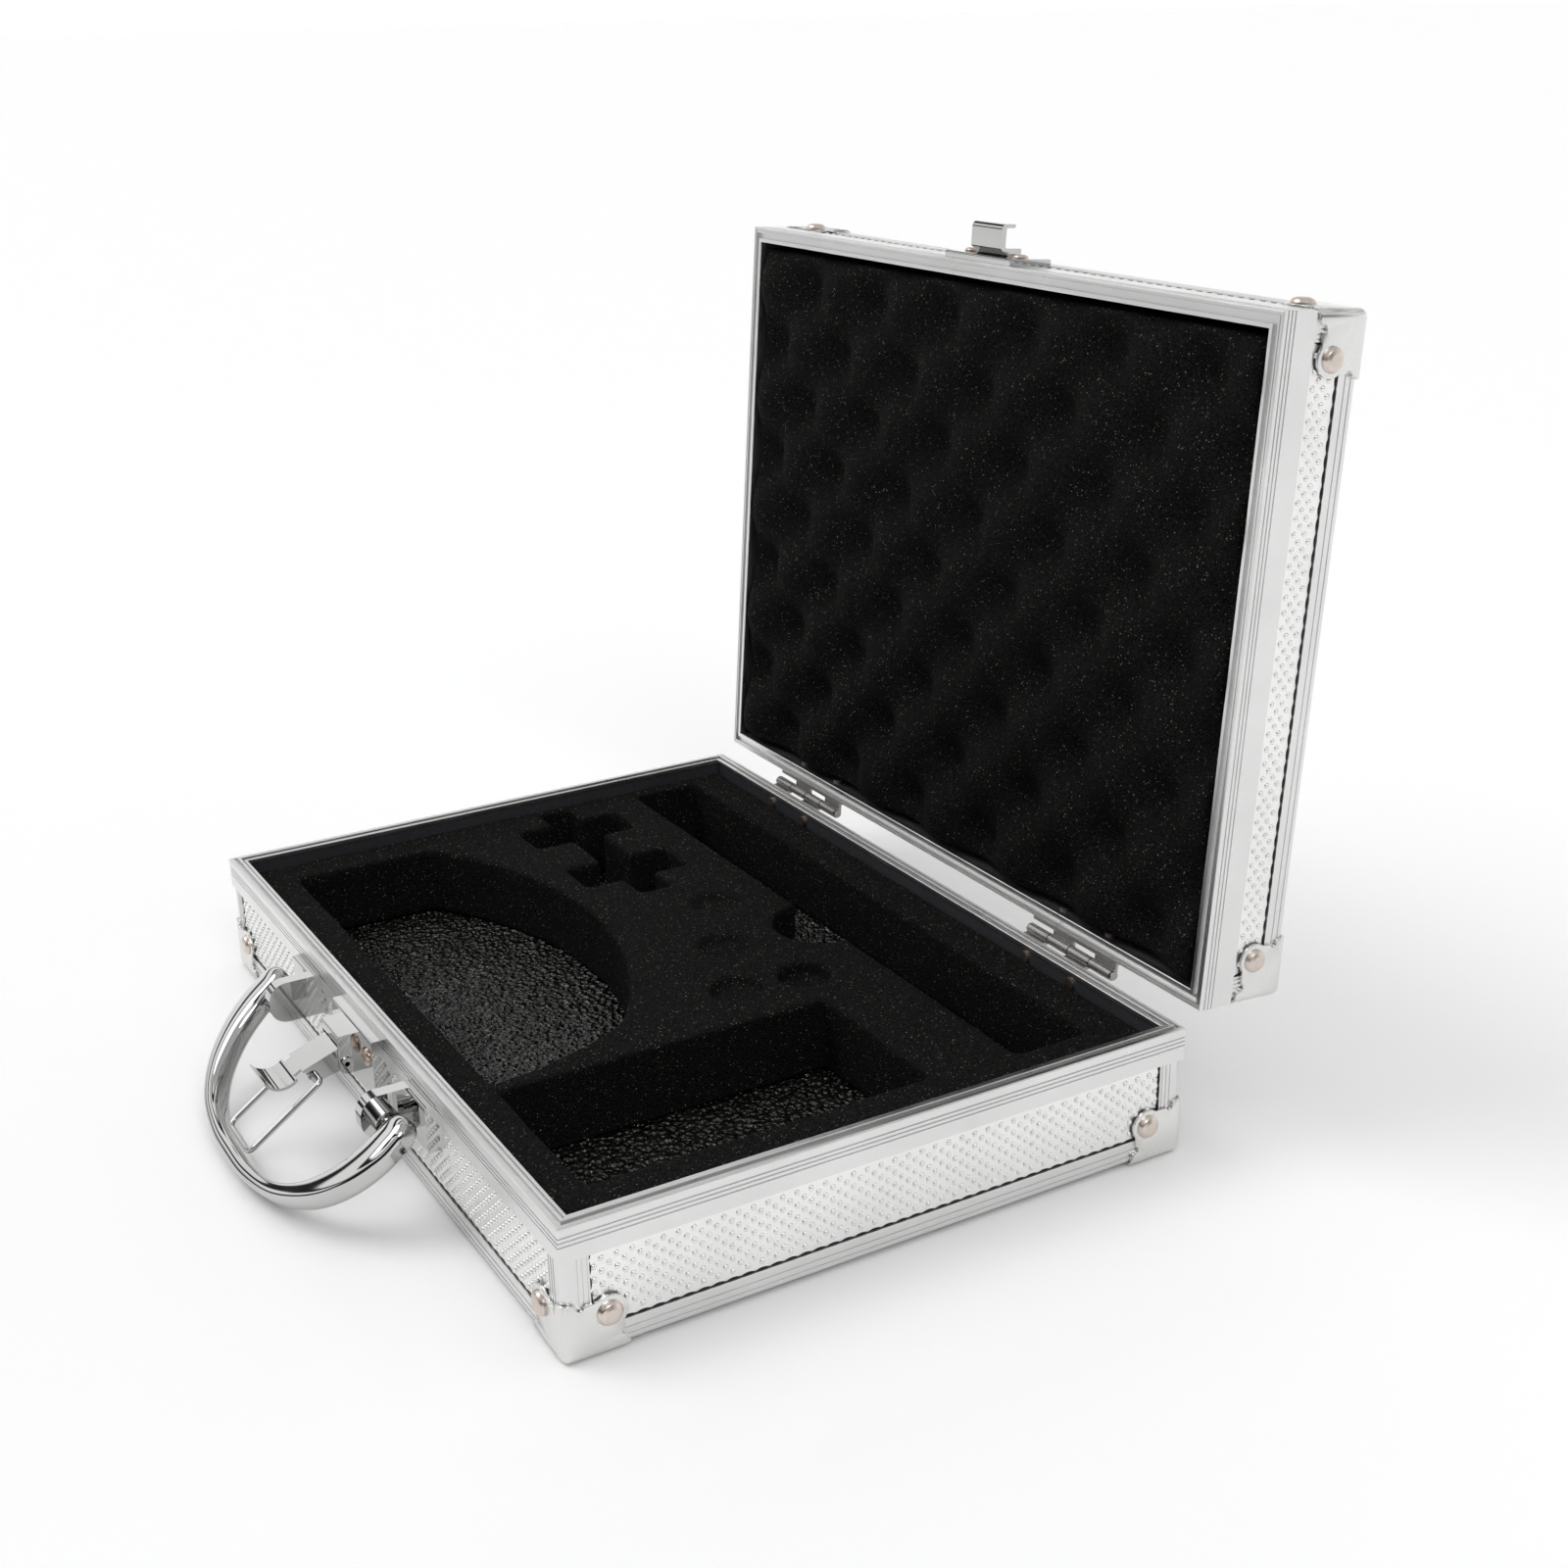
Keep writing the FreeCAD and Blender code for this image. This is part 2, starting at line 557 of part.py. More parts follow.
def bracket_screws():
    """Pan-headed screws from inside the case into the brackets."""
    screws = []
    for side in (-1, 1):
        for place in bracket_screw_places(side):
            head_y = -DEPTH / 2 + BOARD_END + LINER
            shank = rod(1.2, V(place.x, -102.2, place.z), V(place.x, head_y + 0.1, place.z))
            head = rod(2.6, V(place.x, head_y, place.z), V(place.x, head_y + 0.8, place.z))
            slot = box((place.x - 1.8, place.x + 1.8), (head_y + 0.45, head_y + 1),
                       (place.z - 0.3, place.z + 0.3))
            screws.append(fuse([shank, head]).cut(slot))
    return screws


def handle_grip():
    """The bow handle in its own plane (x, reach), bar thickness across it, then drooped."""
    outer = [(61.6, 0), (61.4, 10), (57.2, 20.5), (48.3, 30.4), (34.0, 38.2), (16, 42.2), (0, 42.9)]
    inner = [(50.6, 0), (50.0, 9), (46.6, 19), (39.0, 28.5), (28.0, 34.8), (14, 37.3), (0, 37.6)]

    def curve(points):
        mirrored = [(-x, s) for x, s in reversed(points[:-1])]
        spline = Part.BSplineCurve()
        spline.interpolate([V(x, -s, 0) for x, s in points + mirrored])
        return spline.toShape()

    def end(side):
        middle = (outer[0][0] + inner[0][0]) / 2
        return Part.Arc(V(side * outer[0][0], 0, 0), V(side * middle, HANDLE_END, 0),
                        V(side * inner[0][0], 0, 0)).toShape()

    face = Part.Face(Part.Wire(Part.__sortEdges__([curve(outer), end(1), curve(inner), end(-1)])))
    face.translate(V(0, 0, -HANDLE_HALF))
    bar = face.extrude(V(0, 0, 2 * HANDLE_HALF))
    long_edges = [edge for edge in bar.Edges
                  if abs(abs(edge.CenterOfMass.z) - HANDLE_HALF) < 1e-4]
    bar = bar.makeChamfer(HANDLE_CHAMFER, long_edges)
    bar.rotate(V(0, 0, 0), ALONG, HANDLE_DROOP)
    bar.translate(V(0, PIVOT_Y, PIVOT_Z))
    bore = rod(HANDLE_PIN_R + PIN_PLAY, V(-BORE_END, PIVOT_Y, PIVOT_Z), V(BORE_END, PIVOT_Y, PIVOT_Z))
    return bar.cut(bore)


def handle_pins():
    """The two pivot pins, from a blind hole in each arm to a blind hole in each eye."""
    return [rod(HANDLE_PIN_R, V(side * PIN_START, PIVOT_Y, PIVOT_Z), V(side * PIN_END, PIVOT_Y, PIVOT_Z))
            for side in (-1, 1)]


# ---- latch on the base ----
def latch_plate():
    """The plate that carries the latch, stepped over the band, holed for its rivets."""
    plate = across([(-100, LATCH_LOW), (PLATE_FRONT, LATCH_LOW, 0.9), (PLATE_FRONT, LATCH_HIGH, 0.9),
                    (-100, LATCH_HIGH)], -LATCH_HALF, LATCH_HALF)
    seat = box((-LATCH_HALF, LATCH_HALF), (-100, -DEPTH / 2 + RIM_SHELL),
               (LATCH_LOW, BASE_HEIGHT - BASE_BAND - 0.1))
    return drilled(fuse([plate, seat]), latch_drills())


def latch_rivet_places():
    """Seats of the latch plate's two rivets."""
    return [V(side * 12.5, PLATE_FRONT, LATCH_RIVET_Z) for side in (-1, 1)]


def latch_drills(radius=1.65):
    """Cutters for the latch and bracket fasteners through the front wall."""
    return [drill(radius, place, V(0, 1, 0), 9.5) for place in latch_rivet_places()]


def latch_channel():
    """The roofed channel that the lever pivots in, fixed to the plate."""
    cheek = [(PLATE_FRONT, CHANNEL_LOW), (CHANNEL_FRONT, CHANNEL_LOW, 2.0),
             (CHANNEL_FRONT, CHANNEL_HIGH, 0.8), (PLATE_FRONT, CHANNEL_HIGH)]
    cheeks = [across(cheek, *sorted((side * CHANNEL_HALF, side * (CHANNEL_HALF - CHANNEL_WALL))))
              for side in (-1, 1)]
    across_x = (-CHANNEL_HALF, CHANNEL_HALF)
    web = box(across_x, (PLATE_FRONT - CHANNEL_WALL, PLATE_FRONT), (CHANNEL_LOW, CHANNEL_HIGH))
    roof = across([(PLATE_FRONT, CHANNEL_HIGH - CHANNEL_WALL), (CHANNEL_FRONT + CHANNEL_WALL,
                   CHANNEL_HIGH - CHANNEL_WALL), (CHANNEL_FRONT + CHANNEL_WALL, APRON_LOW),
                   (CHANNEL_FRONT, APRON_LOW), (CHANNEL_FRONT, CHANNEL_HIGH, 0.8),
                   (PLATE_FRONT, CHANNEL_HIGH)], *across_x)
    bore = drill(LEVER_PIN_R, V(0, LEVER_Y, LEVER_Z), ALONG, 12)
    return fuse(cheeks + [web, roof]).cut(bore)


def lever_local(shape):
    """Droops a piece drawn level (reach along -Y, up +Z) about the lever pivot, and places it."""
    moved = shape.copy()
    moved.rotate(V(0, 0, 0), ALONG, LEVER_DROOP)
    moved.translate(V(0, LEVER_Y, LEVER_Z))
    return moved


def latch_lever():
    """A channel-section lever with a notched neck and a scooped thumb tab."""
    under = LEVER_TOP - LEVER_SHEET
    top = across([(1.2, under), (-12.2, under), (-12.2, LEVER_TOP), (1.2, LEVER_TOP)],
                 -LEVER_HALF, LEVER_HALF)
    neck = across([(-12.0, under), (-15.0, under - 0.7), (-15.0, LEVER_TOP - 0.7), (-12.0, LEVER_TOP)],
                  -4.6, 4.6)
    tab = Part.Wire([Part.Arc(V(0, -14.6, LEVER_TOP - 0.6), V(0, -18.8, LEVER_TOP - 1.1),
                              V(0, -23.2, 8.9)).toShape(),
                     Part.makeLine(V(0, -23.2, 8.9), V(0, -23.6, 8.3)),
                     Part.Arc(V(0, -23.6, 8.3), V(0, -18.9, LEVER_TOP - 2.0),
                              V(0, -14.6, under - 0.7)).toShape(),
                     Part.makeLine(V(0, -14.6, under - 0.7), V(0, -14.6, LEVER_TOP - 0.6))])
    tab = Part.Face(tab).extrude(V(14.4, 0, 0))
    tab.translate(V(-7.2, 0, 0))
    cheek = [(2.6, -1.6, 1.6), (2.6, LEVER_TOP - 1.4, 0.8), (1.2, LEVER_TOP), (-11.6, LEVER_TOP, 0.4),
             (-11.6, 1.6, 1.0), (-10.6, -1.0, 1.0), (-7.8, -1.0), (-3.4, -1.6)]
    cheeks = [across(cheek, *sorted((side * LEVER_HALF, side * (LEVER_HALF - LEVER_SHEET))))
              for side in (-1, 1)]
    lever = fuse([top, neck, tab] + cheeks)
    bores = [drill(LEVER_PIN_R + PIN_PLAY, V(0, 0, 0), ALONG, 12),
             drill(WIRE_R + PIN_PLAY, V(0, -BAIL_PIVOT_S, BAIL_PIVOT_N), ALONG, 12)]
    return lever_local(drilled(lever, bores))


def lever_pin():
    """The tubular rivet that the lever turns on."""
    length = CHANNEL_HALF + 0.5
    pin = fuse([rod(LEVER_PIN_R, V(-length, 0, 0), V(length, 0, 0)),
                rod(2.1, V(-length, 0, 0), V(-CHANNEL_HALF, 0, 0)),
                rod(2.1, V(CHANNEL_HALF, 0, 0), V(length, 0, 0))])
    pin = pin.cut(rod(0.8, V(-length - 1, 0, 0), V(length + 1, 0, 0)))
    pin.translate(V(0, LEVER_Y, LEVER_Z))
    return pin


def bail_pivot():
    """The bail's pivot point, latch open."""
    angle = math.radians(LEVER_DROOP)
    return V(0, LEVER_Y - BAIL_PIVOT_S * math.cos(angle) - BAIL_PIVOT_N * math.sin(angle),
             LEVER_Z - BAIL_PIVOT_S * math.sin(angle) + BAIL_PIVOT_N * math.cos(angle))


def latch_bail():
    """A wire bail: a rounded loop whose ends turn in through the lever's cheeks."""
    bend = 2.6
    ends_in = LEVER_HALF - LEVER_SHEET - 0.6
    path = [V(-ends_in, 0, 0), V(-BAIL_HALF, 0, 0), V(-BAIL_HALF, -BAIL_LENGTH, 0),
            V(BAIL_HALF, -BAIL_LENGTH, 0), V(BAIL_HALF, 0, 0), V(ends_in, 0, 0)]
    radii = [0, 1.6, bend, bend, 1.6, 0]
    last = path[0]
    edges = []
    for i in range(1, len(path) - 1):
        back = (path[i - 1] - path[i]).normalize()
        ahead = (path[i + 1] - path[i]).normalize()
        start = path[i] + back * radii[i]
        end = path[i] + ahead * radii[i]
        middle = path[i] + (back + ahead).normalize() * (radii[i] * (math.sqrt(2) - 1))
        edges += [Part.makeLine(last, start), Part.Arc(start, middle, end).toShape()]
        last = end
    edges.append(Part.makeLine(last, path[-1]))
    spine = Part.Wire(edges)
    section = Part.Wire(Part.makeCircle(WIRE_R, path[0], ALONG))
    wire = spine.makePipeShell([section], True, False)
    wire.rotate(V(0, 0, 0), ALONG, BAIL_DROOP)
    wire.translate(bail_pivot())
    return wire


# ---- catch on the lid, drawn with the case shut ----
def catch_plate():
    """The plate that carries the hook."""
    plate = across([(-DEPTH / 2, CATCH_LOW), (CATCH_FRONT, CATCH_LOW, 0.7), (CATCH_FRONT, CATCH_HIGH, 0.7),
                    (-DEPTH / 2, CATCH_HIGH)], -LATCH_HALF, LATCH_HALF)
    seat = box((-LATCH_HALF, LATCH_HALF), (-DEPTH / 2, -DEPTH / 2 + RIM_SHELL),
               (BASE_HEIGHT + RIM_GAP + LID_BAND + 0.1, CATCH_HIGH))
    drills = [drill(1.35, place, V(0, 1, 0), 9.5) for place in catch_rivet_places()]
    return drilled(fuse([plate, seat]), drills)


def catch_rivet_places():
    """Seats of the catch plate's rivets, case shut."""
    return [V(side * 12.9, CATCH_FRONT, 49.6) for side in (-1, 1)]


def catch_hook():
    """A J-shaped hook, open upwards with the case shut, that holds the bail's bar."""
    low = BAR_Z - WIRE_R - 0.3
    lip = BAR_Y - WIRE_R - 0.4
    back = CATCH_FRONT - 2.4
    foot = low - 1.8
    return across([(CATCH_FRONT, low + 1.2), (back + 0.2, foot, 0.8), (lip - 1.2, foot, 1.7),
                   (lip - 1.2, BAR_Z + 2.2, 0.5), (lip, BAR_Z + 2.2, 0.5), (lip, low, 0.6),
                   (back, low, 0.6), (back, BAR_Z + 5.0, 0.5), (CATCH_FRONT, BAR_Z + 5.0)],
                  -HOOK_HALF, HOOK_HALF)


# ---- put the case together ----
def shut(shape):
    """Turns a tray piece over, onto the shut base."""
    moved = shape.copy()
    moved.rotate(V(0, 0, 0), V(0, 1, 0), 180)
    moved.translate(V(0, 0, CLOSED_HEIGHT))
    return moved


def opened(shape):
    """Swings a lid piece from shut to the open stop."""
    moved = shape.copy()
    moved.rotate(V(0, HINGE_Y, HINGE_Z), ALONG, -LID_OPEN)
    return moved


def wall_fasteners(low_places):
    """Cutters through the back wall for hinge rivets, in tray coordinates."""
    return [drill(1.3, V(side * HINGE_X + shift * HINGE_RIVET_X, DEPTH / 2, low_places), V(0, 1, 0), 7)
            for side in (-1, 1) for shift in (-1, 1)]


def build():
    """Every node of the case, by name, in the standing pose."""
    nodes = {}
    front_drills = latch_drills() + [drill(1.25, place, V(0, 1, 0), 6) for side in (-1, 1)
                                     for place in bracket_screw_places(side)]
    base = tray(BASE_HEIGHT, BASE_BAND, RIM_SEAT, (2.9, 4.2, 5.5), base_ridge(BASE_HEIGHT), -81.0,
                wall_fasteners(HINGE_RIVET_Z) + front_drills)
    for name, shape in base.items():
        nodes["base_" + name] = shape
    nodes["base_foam_insert"] = base_foam()
    nodes["base_foam_pad"] = base_pad()

    catch_drills = [drill(1.35, V(place.x, place.y, CLOSED_HEIGHT - place.z), V(0, 1, 0), 9.5)
                    for place in catch_rivet_places()]
    lid = tray(LID_HEIGHT, LID_BAND, LID_RIM_SEAT, (1.6, 2.9, 4.2), lid_ridge(LID_HEIGHT), -72.0,
               wall_fasteners(CLOSED_HEIGHT - lid_hinge_rivet_z()) + catch_drills)
    lid["convoluted_foam"] = lid_foam()
    swapped = {"left": "right", "right": "left"}
    for name, shape in lid.items():
        first = name.split("_")[0]
        renamed = name.replace(first, swapped[first], 1) if first in swapped else name
        nodes["lid_" + renamed.replace("floor", "top")] = opened(shut(shape))

    for name, side in (("left", -1), ("right", 1)):
        nodes[f"hinge_{name}_base_leaf"] = hinge_leaf(side * HINGE_X, False)
        nodes[f"hinge_{name}_lid_leaf"] = opened(hinge_leaf(side * HINGE_X, True))
        nodes[f"hinge_{name}_pin"] = hinge_pin(side * HINGE_X)
        nodes[f"handle_bracket_{name}"] = handle_bracket(side)
    nodes["hinge_base_rivets"] = Part.makeCompound(hinge_rivets(HINGE_RIVET_Z))
    nodes["hinge_lid_rivets"] = opened(Part.makeCompound(hinge_rivets(lid_hinge_rivet_z())))

    nodes["handle_bracket_screws"] = Part.makeCompound(bracket_screws())
    nodes["handle_grip"] = handle_grip()
    nodes["handle_pivot_pins"] = Part.makeCompound(handle_pins())

    latch_grip = -DEPTH / 2 + BOARD_END + LINER - PLATE_FRONT
    latch_rivet = dome_rivet(2.9, 1.1, 1.6, latch_grip, 2.4)
    nodes["latch_base_plate"] = latch_plate()
    nodes["latch_channel"] = latch_channel()
    nodes["latch_plate_rivets"] = Part.makeCompound([aimed(latch_rivet, place, V(0, -1, 0))
                                                     for place in latch_rivet_places()])
    nodes["latch_lever"] = latch_lever()
    nodes["latch_lever_pin"] = lever_pin()
    nodes["latch_bail"] = latch_bail()

    catch_rivet = dome_rivet(2.5, 1.0, 1.3, latch_grip - 1.8, 2.1)
    nodes["catch_plate"] = opened(catch_plate())
    nodes["catch_hook"] = opened(catch_hook())
    nodes["catch_rivets"] = opened(Part.makeCompound([aimed(catch_rivet, place, V(0, -1, 0))
                                                      for place in catch_rivet_places()]))
    return nodes


def main():
    """Writes each node with the origin at the middle of the footprint, on the floor."""
    nodes = build()
    whole = FreeCAD.BoundBox()
    for shape in nodes.values():
        whole.add(shape.optimalBoundingBox(False, False))
    shift = V(-whole.Center.x, -whole.Center.y, -whole.ZMin)
    for name, shape in nodes.items():
        shape.translate(shift)
        shape.exportStep(f"parts/{name}.step")
    print("shift", shift)
    print("size", whole.XLength, whole.YLength, whole.ZLength)
    for label, place in (("hinge", V(0, HINGE_Y, HINGE_Z)), ("handle", V(0, PIVOT_Y, PIVOT_Z)),
                         ("lever", V(0, LEVER_Y, LEVER_Z)), ("bail", bail_pivot())):
        print(label, place + shift)


main()
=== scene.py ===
import json
import math

import bmesh
import bpy
import numpy as np
from mathutils import Matrix, Vector, noise


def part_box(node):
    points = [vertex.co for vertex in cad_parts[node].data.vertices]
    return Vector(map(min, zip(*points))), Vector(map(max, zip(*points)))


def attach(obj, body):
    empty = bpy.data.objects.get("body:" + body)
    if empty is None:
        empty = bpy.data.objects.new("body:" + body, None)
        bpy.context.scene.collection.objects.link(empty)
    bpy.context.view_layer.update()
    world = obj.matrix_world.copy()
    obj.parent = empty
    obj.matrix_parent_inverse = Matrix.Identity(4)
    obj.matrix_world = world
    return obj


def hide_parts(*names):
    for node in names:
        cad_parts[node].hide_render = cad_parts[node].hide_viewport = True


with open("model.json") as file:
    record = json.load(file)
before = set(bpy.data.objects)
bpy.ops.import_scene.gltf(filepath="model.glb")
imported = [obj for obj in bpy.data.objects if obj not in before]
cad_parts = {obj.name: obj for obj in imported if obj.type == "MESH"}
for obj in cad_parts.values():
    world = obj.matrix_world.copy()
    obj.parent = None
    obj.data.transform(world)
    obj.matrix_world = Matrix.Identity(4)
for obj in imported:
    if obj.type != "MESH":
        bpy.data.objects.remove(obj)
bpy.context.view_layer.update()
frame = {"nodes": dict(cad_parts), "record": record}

# Looks of an aluminium attache case that stands open on its underside.
# The row frame is in metres: X along the hinge, -Y is the front, +Z is up.
# The two trays share one set of tray coordinates, floor down: the lid is a tray that is
# turned over onto the base and then swung open about the hinge line.

MM = 0.001

# ---- the studio: heights are on the unit sphere of directions ----
ROOM_LIGHT = 1.16
ROOM_WHITE = (1.0, 1.0, 1.0, 1)
ROOM_DARK = (0.02, 0.02, 0.022, 1)
DARK_BANDS = ((0.30, 0.35), (0.53, 0.60), (0.72, 0.80))
BAND_EDGE = 0.015
# Dark walls: direction, then where the darkness starts and is full, by turn and by height.
DARK_WALLS = (((0.867, -0.498, 0.0), 0.15, 0.55, 0.50, 0.34),
              ((-0.50, -0.87, 0.0), 0.72, 0.88, 0.24, 0.14))
# Where reflections see the room darken overhead (start, full) and how much.
OVERHEAD = (0.82, 0.90, 0.55)
FLOOR_SIZE = 80.0
FLOOR_DROP = 0.0002
# Suns: name, direction towards the light, strength, angle in degrees.
SUNS = (("key", (-0.45, -0.55, 0.9), 0.85, 35.0),
        ("side", (0.9, -0.1, 0.8), 0.55, 25.0))
# Dark cards: name, place, width and height; both face the case.
CARDS = (("card_front", (0.55, -1.1, 0.35), (0.9, 0.3)),
         ("card_right", (1.5, -0.5, 0.5), (0.5, 0.5)))
CARD_AIM = (0, -0.1, 0.03)

# ---- the camera ----
CAMERA_PLACE = (547.8 * MM, -267.4 * MM, 322.0 * MM)   # from the middle of the base's foot
CAMERA_AZIMUTH = 60.11            # degrees, as are the next two
CAMERA_ELEVATION = 20.73
CAMERA_ROLL = -1.14
CAMERA_LENS = 47.54               # millimetres, as is the sensor
CAMERA_SENSOR = 36.0

# ---- places taken from the frame ----
JOINTS = {joint["name"]: joint for joint in frame["record"]["behaviour"]["joints"]}
SLOTS = {part["node"]: part["material_slot"] for part in frame["record"]["subparts"]}
rim_low, rim_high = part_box("base_rim_frame")
CENTRE_Y = (rim_low[1] + rim_high[1]) / 2
HALF_X = (rim_high[0] - rim_low[0]) / 2
HALF_Y = (rim_high[1] - rim_low[1]) / 2
skin_low, skin_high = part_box("base_wall_skins")
SKIN_INSET = HALF_X - skin_high[0]
SKIN_FOOT = skin_low[2]
RAIL_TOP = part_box("base_edge_rails")[1][2]
HINGE = Vector(JOINTS["lid_hinge"]["pos_m"])
LID_OPEN = math.radians(JOINTS["lid_hinge"]["range_deg"][1])

# ---- sizes of the looks, metres ----
CLOSED_HEIGHT = 72.0 * MM
BASE_VISIBLE_TOP = 30.5 * MM      # lower edge of the base's rim band
LID_VISIBLE_TOP = 19.2 * MM       # the same on the lid, in tray coordinates
BASE_SHEET_TOP = 39.0 * MM        # the wall sheets run on behind the bands to here
LID_SHEET_TOP = 28.9 * MM
POST_LEG = 8.4 * MM
SHEET = 0.4 * MM
FLOOR_FACE = 1.5 * MM             # outer face of the floor and top sheets
FLOOR_INSET = 4.1 * MM            # from the outer size of the case to those sheets' edges
CAP_COVER = 19.5 * MM             # side of the square that a corner cap covers
# Patches of the front walls with no beads (left, right, low, high): the latch's plate and the
# handle's two brackets on the base, the catch's plate on the lid.
BASE_FRONT_COVERED = ((-19.0 * MM, 19.0 * MM, 17.5 * MM, 50.0 * MM),
                      (-59.5 * MM, -39.0 * MM, 21.0 * MM, 50.0 * MM),
                      (39.0 * MM, 59.5 * MM, 21.0 * MM, 50.0 * MM))
LID_FRONT_COVERED = ((-19.0 * MM, 19.0 * MM, 13.0 * MM, 50.0 * MM),)
BEAD_PITCH_ALONG = 4.4 * MM
BEAD_PITCH_UP = 3.8 * MM
BEAD_RADIUS = 0.95 * MM
BEAD_RISE = 0.62 * MM
# Rings of a bead: share of its radius and of its rise. The two large sheets have fewer rings.
BEAD_SIDES = 8
BEAD_LEVELS = ((1.0, -0.1), (0.82, 0.45), (0.42, 0.9))
LARGE_SHEET_SIDES = 6
LARGE_SHEET_LEVELS = ((1.0, -0.1), (0.68, 0.68))
GAP_SHADE_WIDTH = 0.72 * MM             # dark strip of painted shade where the gap between a wall sheet and the trim round it lies in shadow
GAP_SHADE_WAVE = 0.62 * MM              # how much of its width comes and goes with the beads
GAP_SHADE_CURVE = 0.7                   # below 1, the scallops are fuller
GAP_SHADE_PROUD = 0.05 * MM
GAP_SHADE_STEPS_PER_BEAD = 8

FOAM_HALF_X = 134.2 * MM
FOAM_HALF_Y = 94.2 * MM
INSERT_VOXEL = 1.1 * MM
INSERT_WOBBLE = 0.25 * MM
PAD_STEP = 0.8 * MM
PAD_FACE = 12.0 * MM
PAD_LUMP = 1.0 * MM
PAD_PEBBLES = 520.0               # pebbles per metre
LID_FOAM_STEP = 1.5 * MM
LID_FOAM_HALF_X = 132.5 * MM
LID_FOAM_HALF_Y = 92.5 * MM
LID_CREST = 36.9 * MM             # crest plane, case shut
LID_VALLEY = 47.6 * MM
LID_FOAM_BACK = 66.5 * MM
CRATE_PITCH_X = 42.5 * MM
CRATE_PITCH_Y = 41.2 * MM
CRATE_CENTRE = (4.5 * MM, 2.0 * MM)
CRATE_POWER = 0.8                 # below 1, the bumps are fuller than the hollows
LID_FOAM_UNEVEN = 0.35 * MM
LID_FOAM_EDGE_SINK = 1.2 * MM
LID_FOAM_EDGE_WIDTH = 2.5 * MM

# Half outlines of the bow, from the pivot line to the middle: across and out, in millimetres.
HANDLE_OUTER = [(61.6, 0), (61.4, 10), (57.2, 20.5), (48.3, 30.4),
                (34.0, 38.2), (16, 42.2), (0, 42.9)]
HANDLE_INNER = [(50.6, 0), (50.0, 9), (46.6, 19), (39.0, 28.5),
                (28.0, 34.8), (14, 37.3), (0, 37.6)]
HANDLE_HALF = 4.0 * MM            # half the bar's height
HANDLE_EYE_REACH = 5.2 * MM       # how far the eyes reach behind the pivot
HANDLE_BORE = 2.25 * MM
HANDLE_BORE_END = 59.4 * MM       # blind end of the bore in each eye, from the middle
HANDLE_SIDES = 32                 # points round the bar's section
HANDLE_SECTION_POWER = 2 / 3.2    # of the superellipse that the bar's section is
HANDLE_STEPS = 10                 # sections between two points of the outline
HANDLE_CAP_STEPS = 7              # sections in each rounded eye
HANDLE_CAP_TURN = 88.0            # degrees, just short of closing the eye to a line

# Rounded edges of the corner caps.
CAP_EDGE_WIDTH = 0.2 * MM
WELD_REACH = 0.002 * MM
SHARP_ANGLE = 38.0                # degrees


# ---- from tray coordinates to the row frame ----
def base_place():
    """Puts the tray coordinates at the base."""
    return Matrix.Translation((0, CENTRE_Y, 0))


def lid_open_matrix():
    """Swings a point of the shut lid, in the row frame, to the open stop."""
    return (Matrix.Translation(HINGE) @ Matrix.Rotation(-LID_OPEN, 4, "X")
            @ Matrix.Translation(-HINGE))


def lid_place():
    """Turns a tray over onto the base and opens it."""
    raised = Matrix.Translation((0, CENTRE_Y, CLOSED_HEIGHT))
    return lid_open_matrix() @ (raised @ Matrix.Rotation(math.pi, 4, "Y"))


# ---- mesh helpers ----
def new_object(name, verts, faces, smooth=True):
    """A mesh object from a list of points and a list of faces."""
    mesh = bpy.data.meshes.new(name)
    mesh.from_pydata(verts, [], faces)
    mesh.update()
    obj = bpy.data.objects.new(name, mesh)
    bpy.context.scene.collection.objects.link(obj)
    set_smooth(obj, smooth)
    return obj


def set_smooth(obj, smooth):
    obj.data.polygons.foreach_set("use_smooth", [smooth] * len(obj.data.polygons))


def outward(obj):
    """Makes the faces of a closed mesh point out."""
    shape = bmesh.new()
    shape.from_mesh(obj.data)
    bmesh.ops.recalc_face_normals(shape, faces=shape.faces)
    shape.to_mesh(obj.data)
    shape.free()


def baked(obj):
    """Turns the object's modifiers into its mesh."""
    graph = bpy.context.evaluated_depsgraph_get()
    mesh = bpy.data.meshes.new_from_object(obj.evaluated_get(graph))
    obj.modifiers.clear()
    obj.data = mesh
    return obj


def dressed(obj, material, body, slot, *replaced):
    """Gives a piece its material and body, and hides the CAD nodes it stands for. The slot is not
    used.
    """
    obj.data.materials.clear()
    obj.data.materials.append(material)
    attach(obj, body)
    if replaced:
        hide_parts(*replaced)
    return obj


def height_block(name, xs, ys, face, back):
    """A closed block: a face of heights over a grid, straight sides and a flat back."""
    nx, ny = len(xs), len(ys)
    grid_x, grid_y = np.meshgrid(xs, ys, indexing="ij")
    front = np.stack([grid_x, grid_y, face], axis=-1).reshape(-1, 3)
    ring = ([i * ny for i in range(nx)] + [(nx - 1) * ny + j for j in range(1, ny)]
            + [i * ny + ny - 1 for i in range(nx - 2, -1, -1)] + list(range(ny - 2, 0, -1)))
    rear = front[ring].copy()
    rear[:, 2] = back
    verts = np.concatenate([front, rear])
    faces = [(i * ny + j, (i + 1) * ny + j, (i + 1) * ny + j + 1, i * ny + j + 1)
             for i in range(nx - 1) for j in range(ny - 1)]
    first = nx * ny
    count = len(ring)
    for k in range(count):
        after = (k + 1) % count
        faces.append((ring[k], first + k, first + after, ring[after]))
    faces.append(tuple(range(first + count - 1, first - 1, -1)))
    return new_object(name, verts, faces)


# ---- materials ----
NOISE_ROUGHNESS = 0.55
CLOUD_SCALE = 26.0
SMUDGE_SCALE = CLOUD_SCALE * 2.3
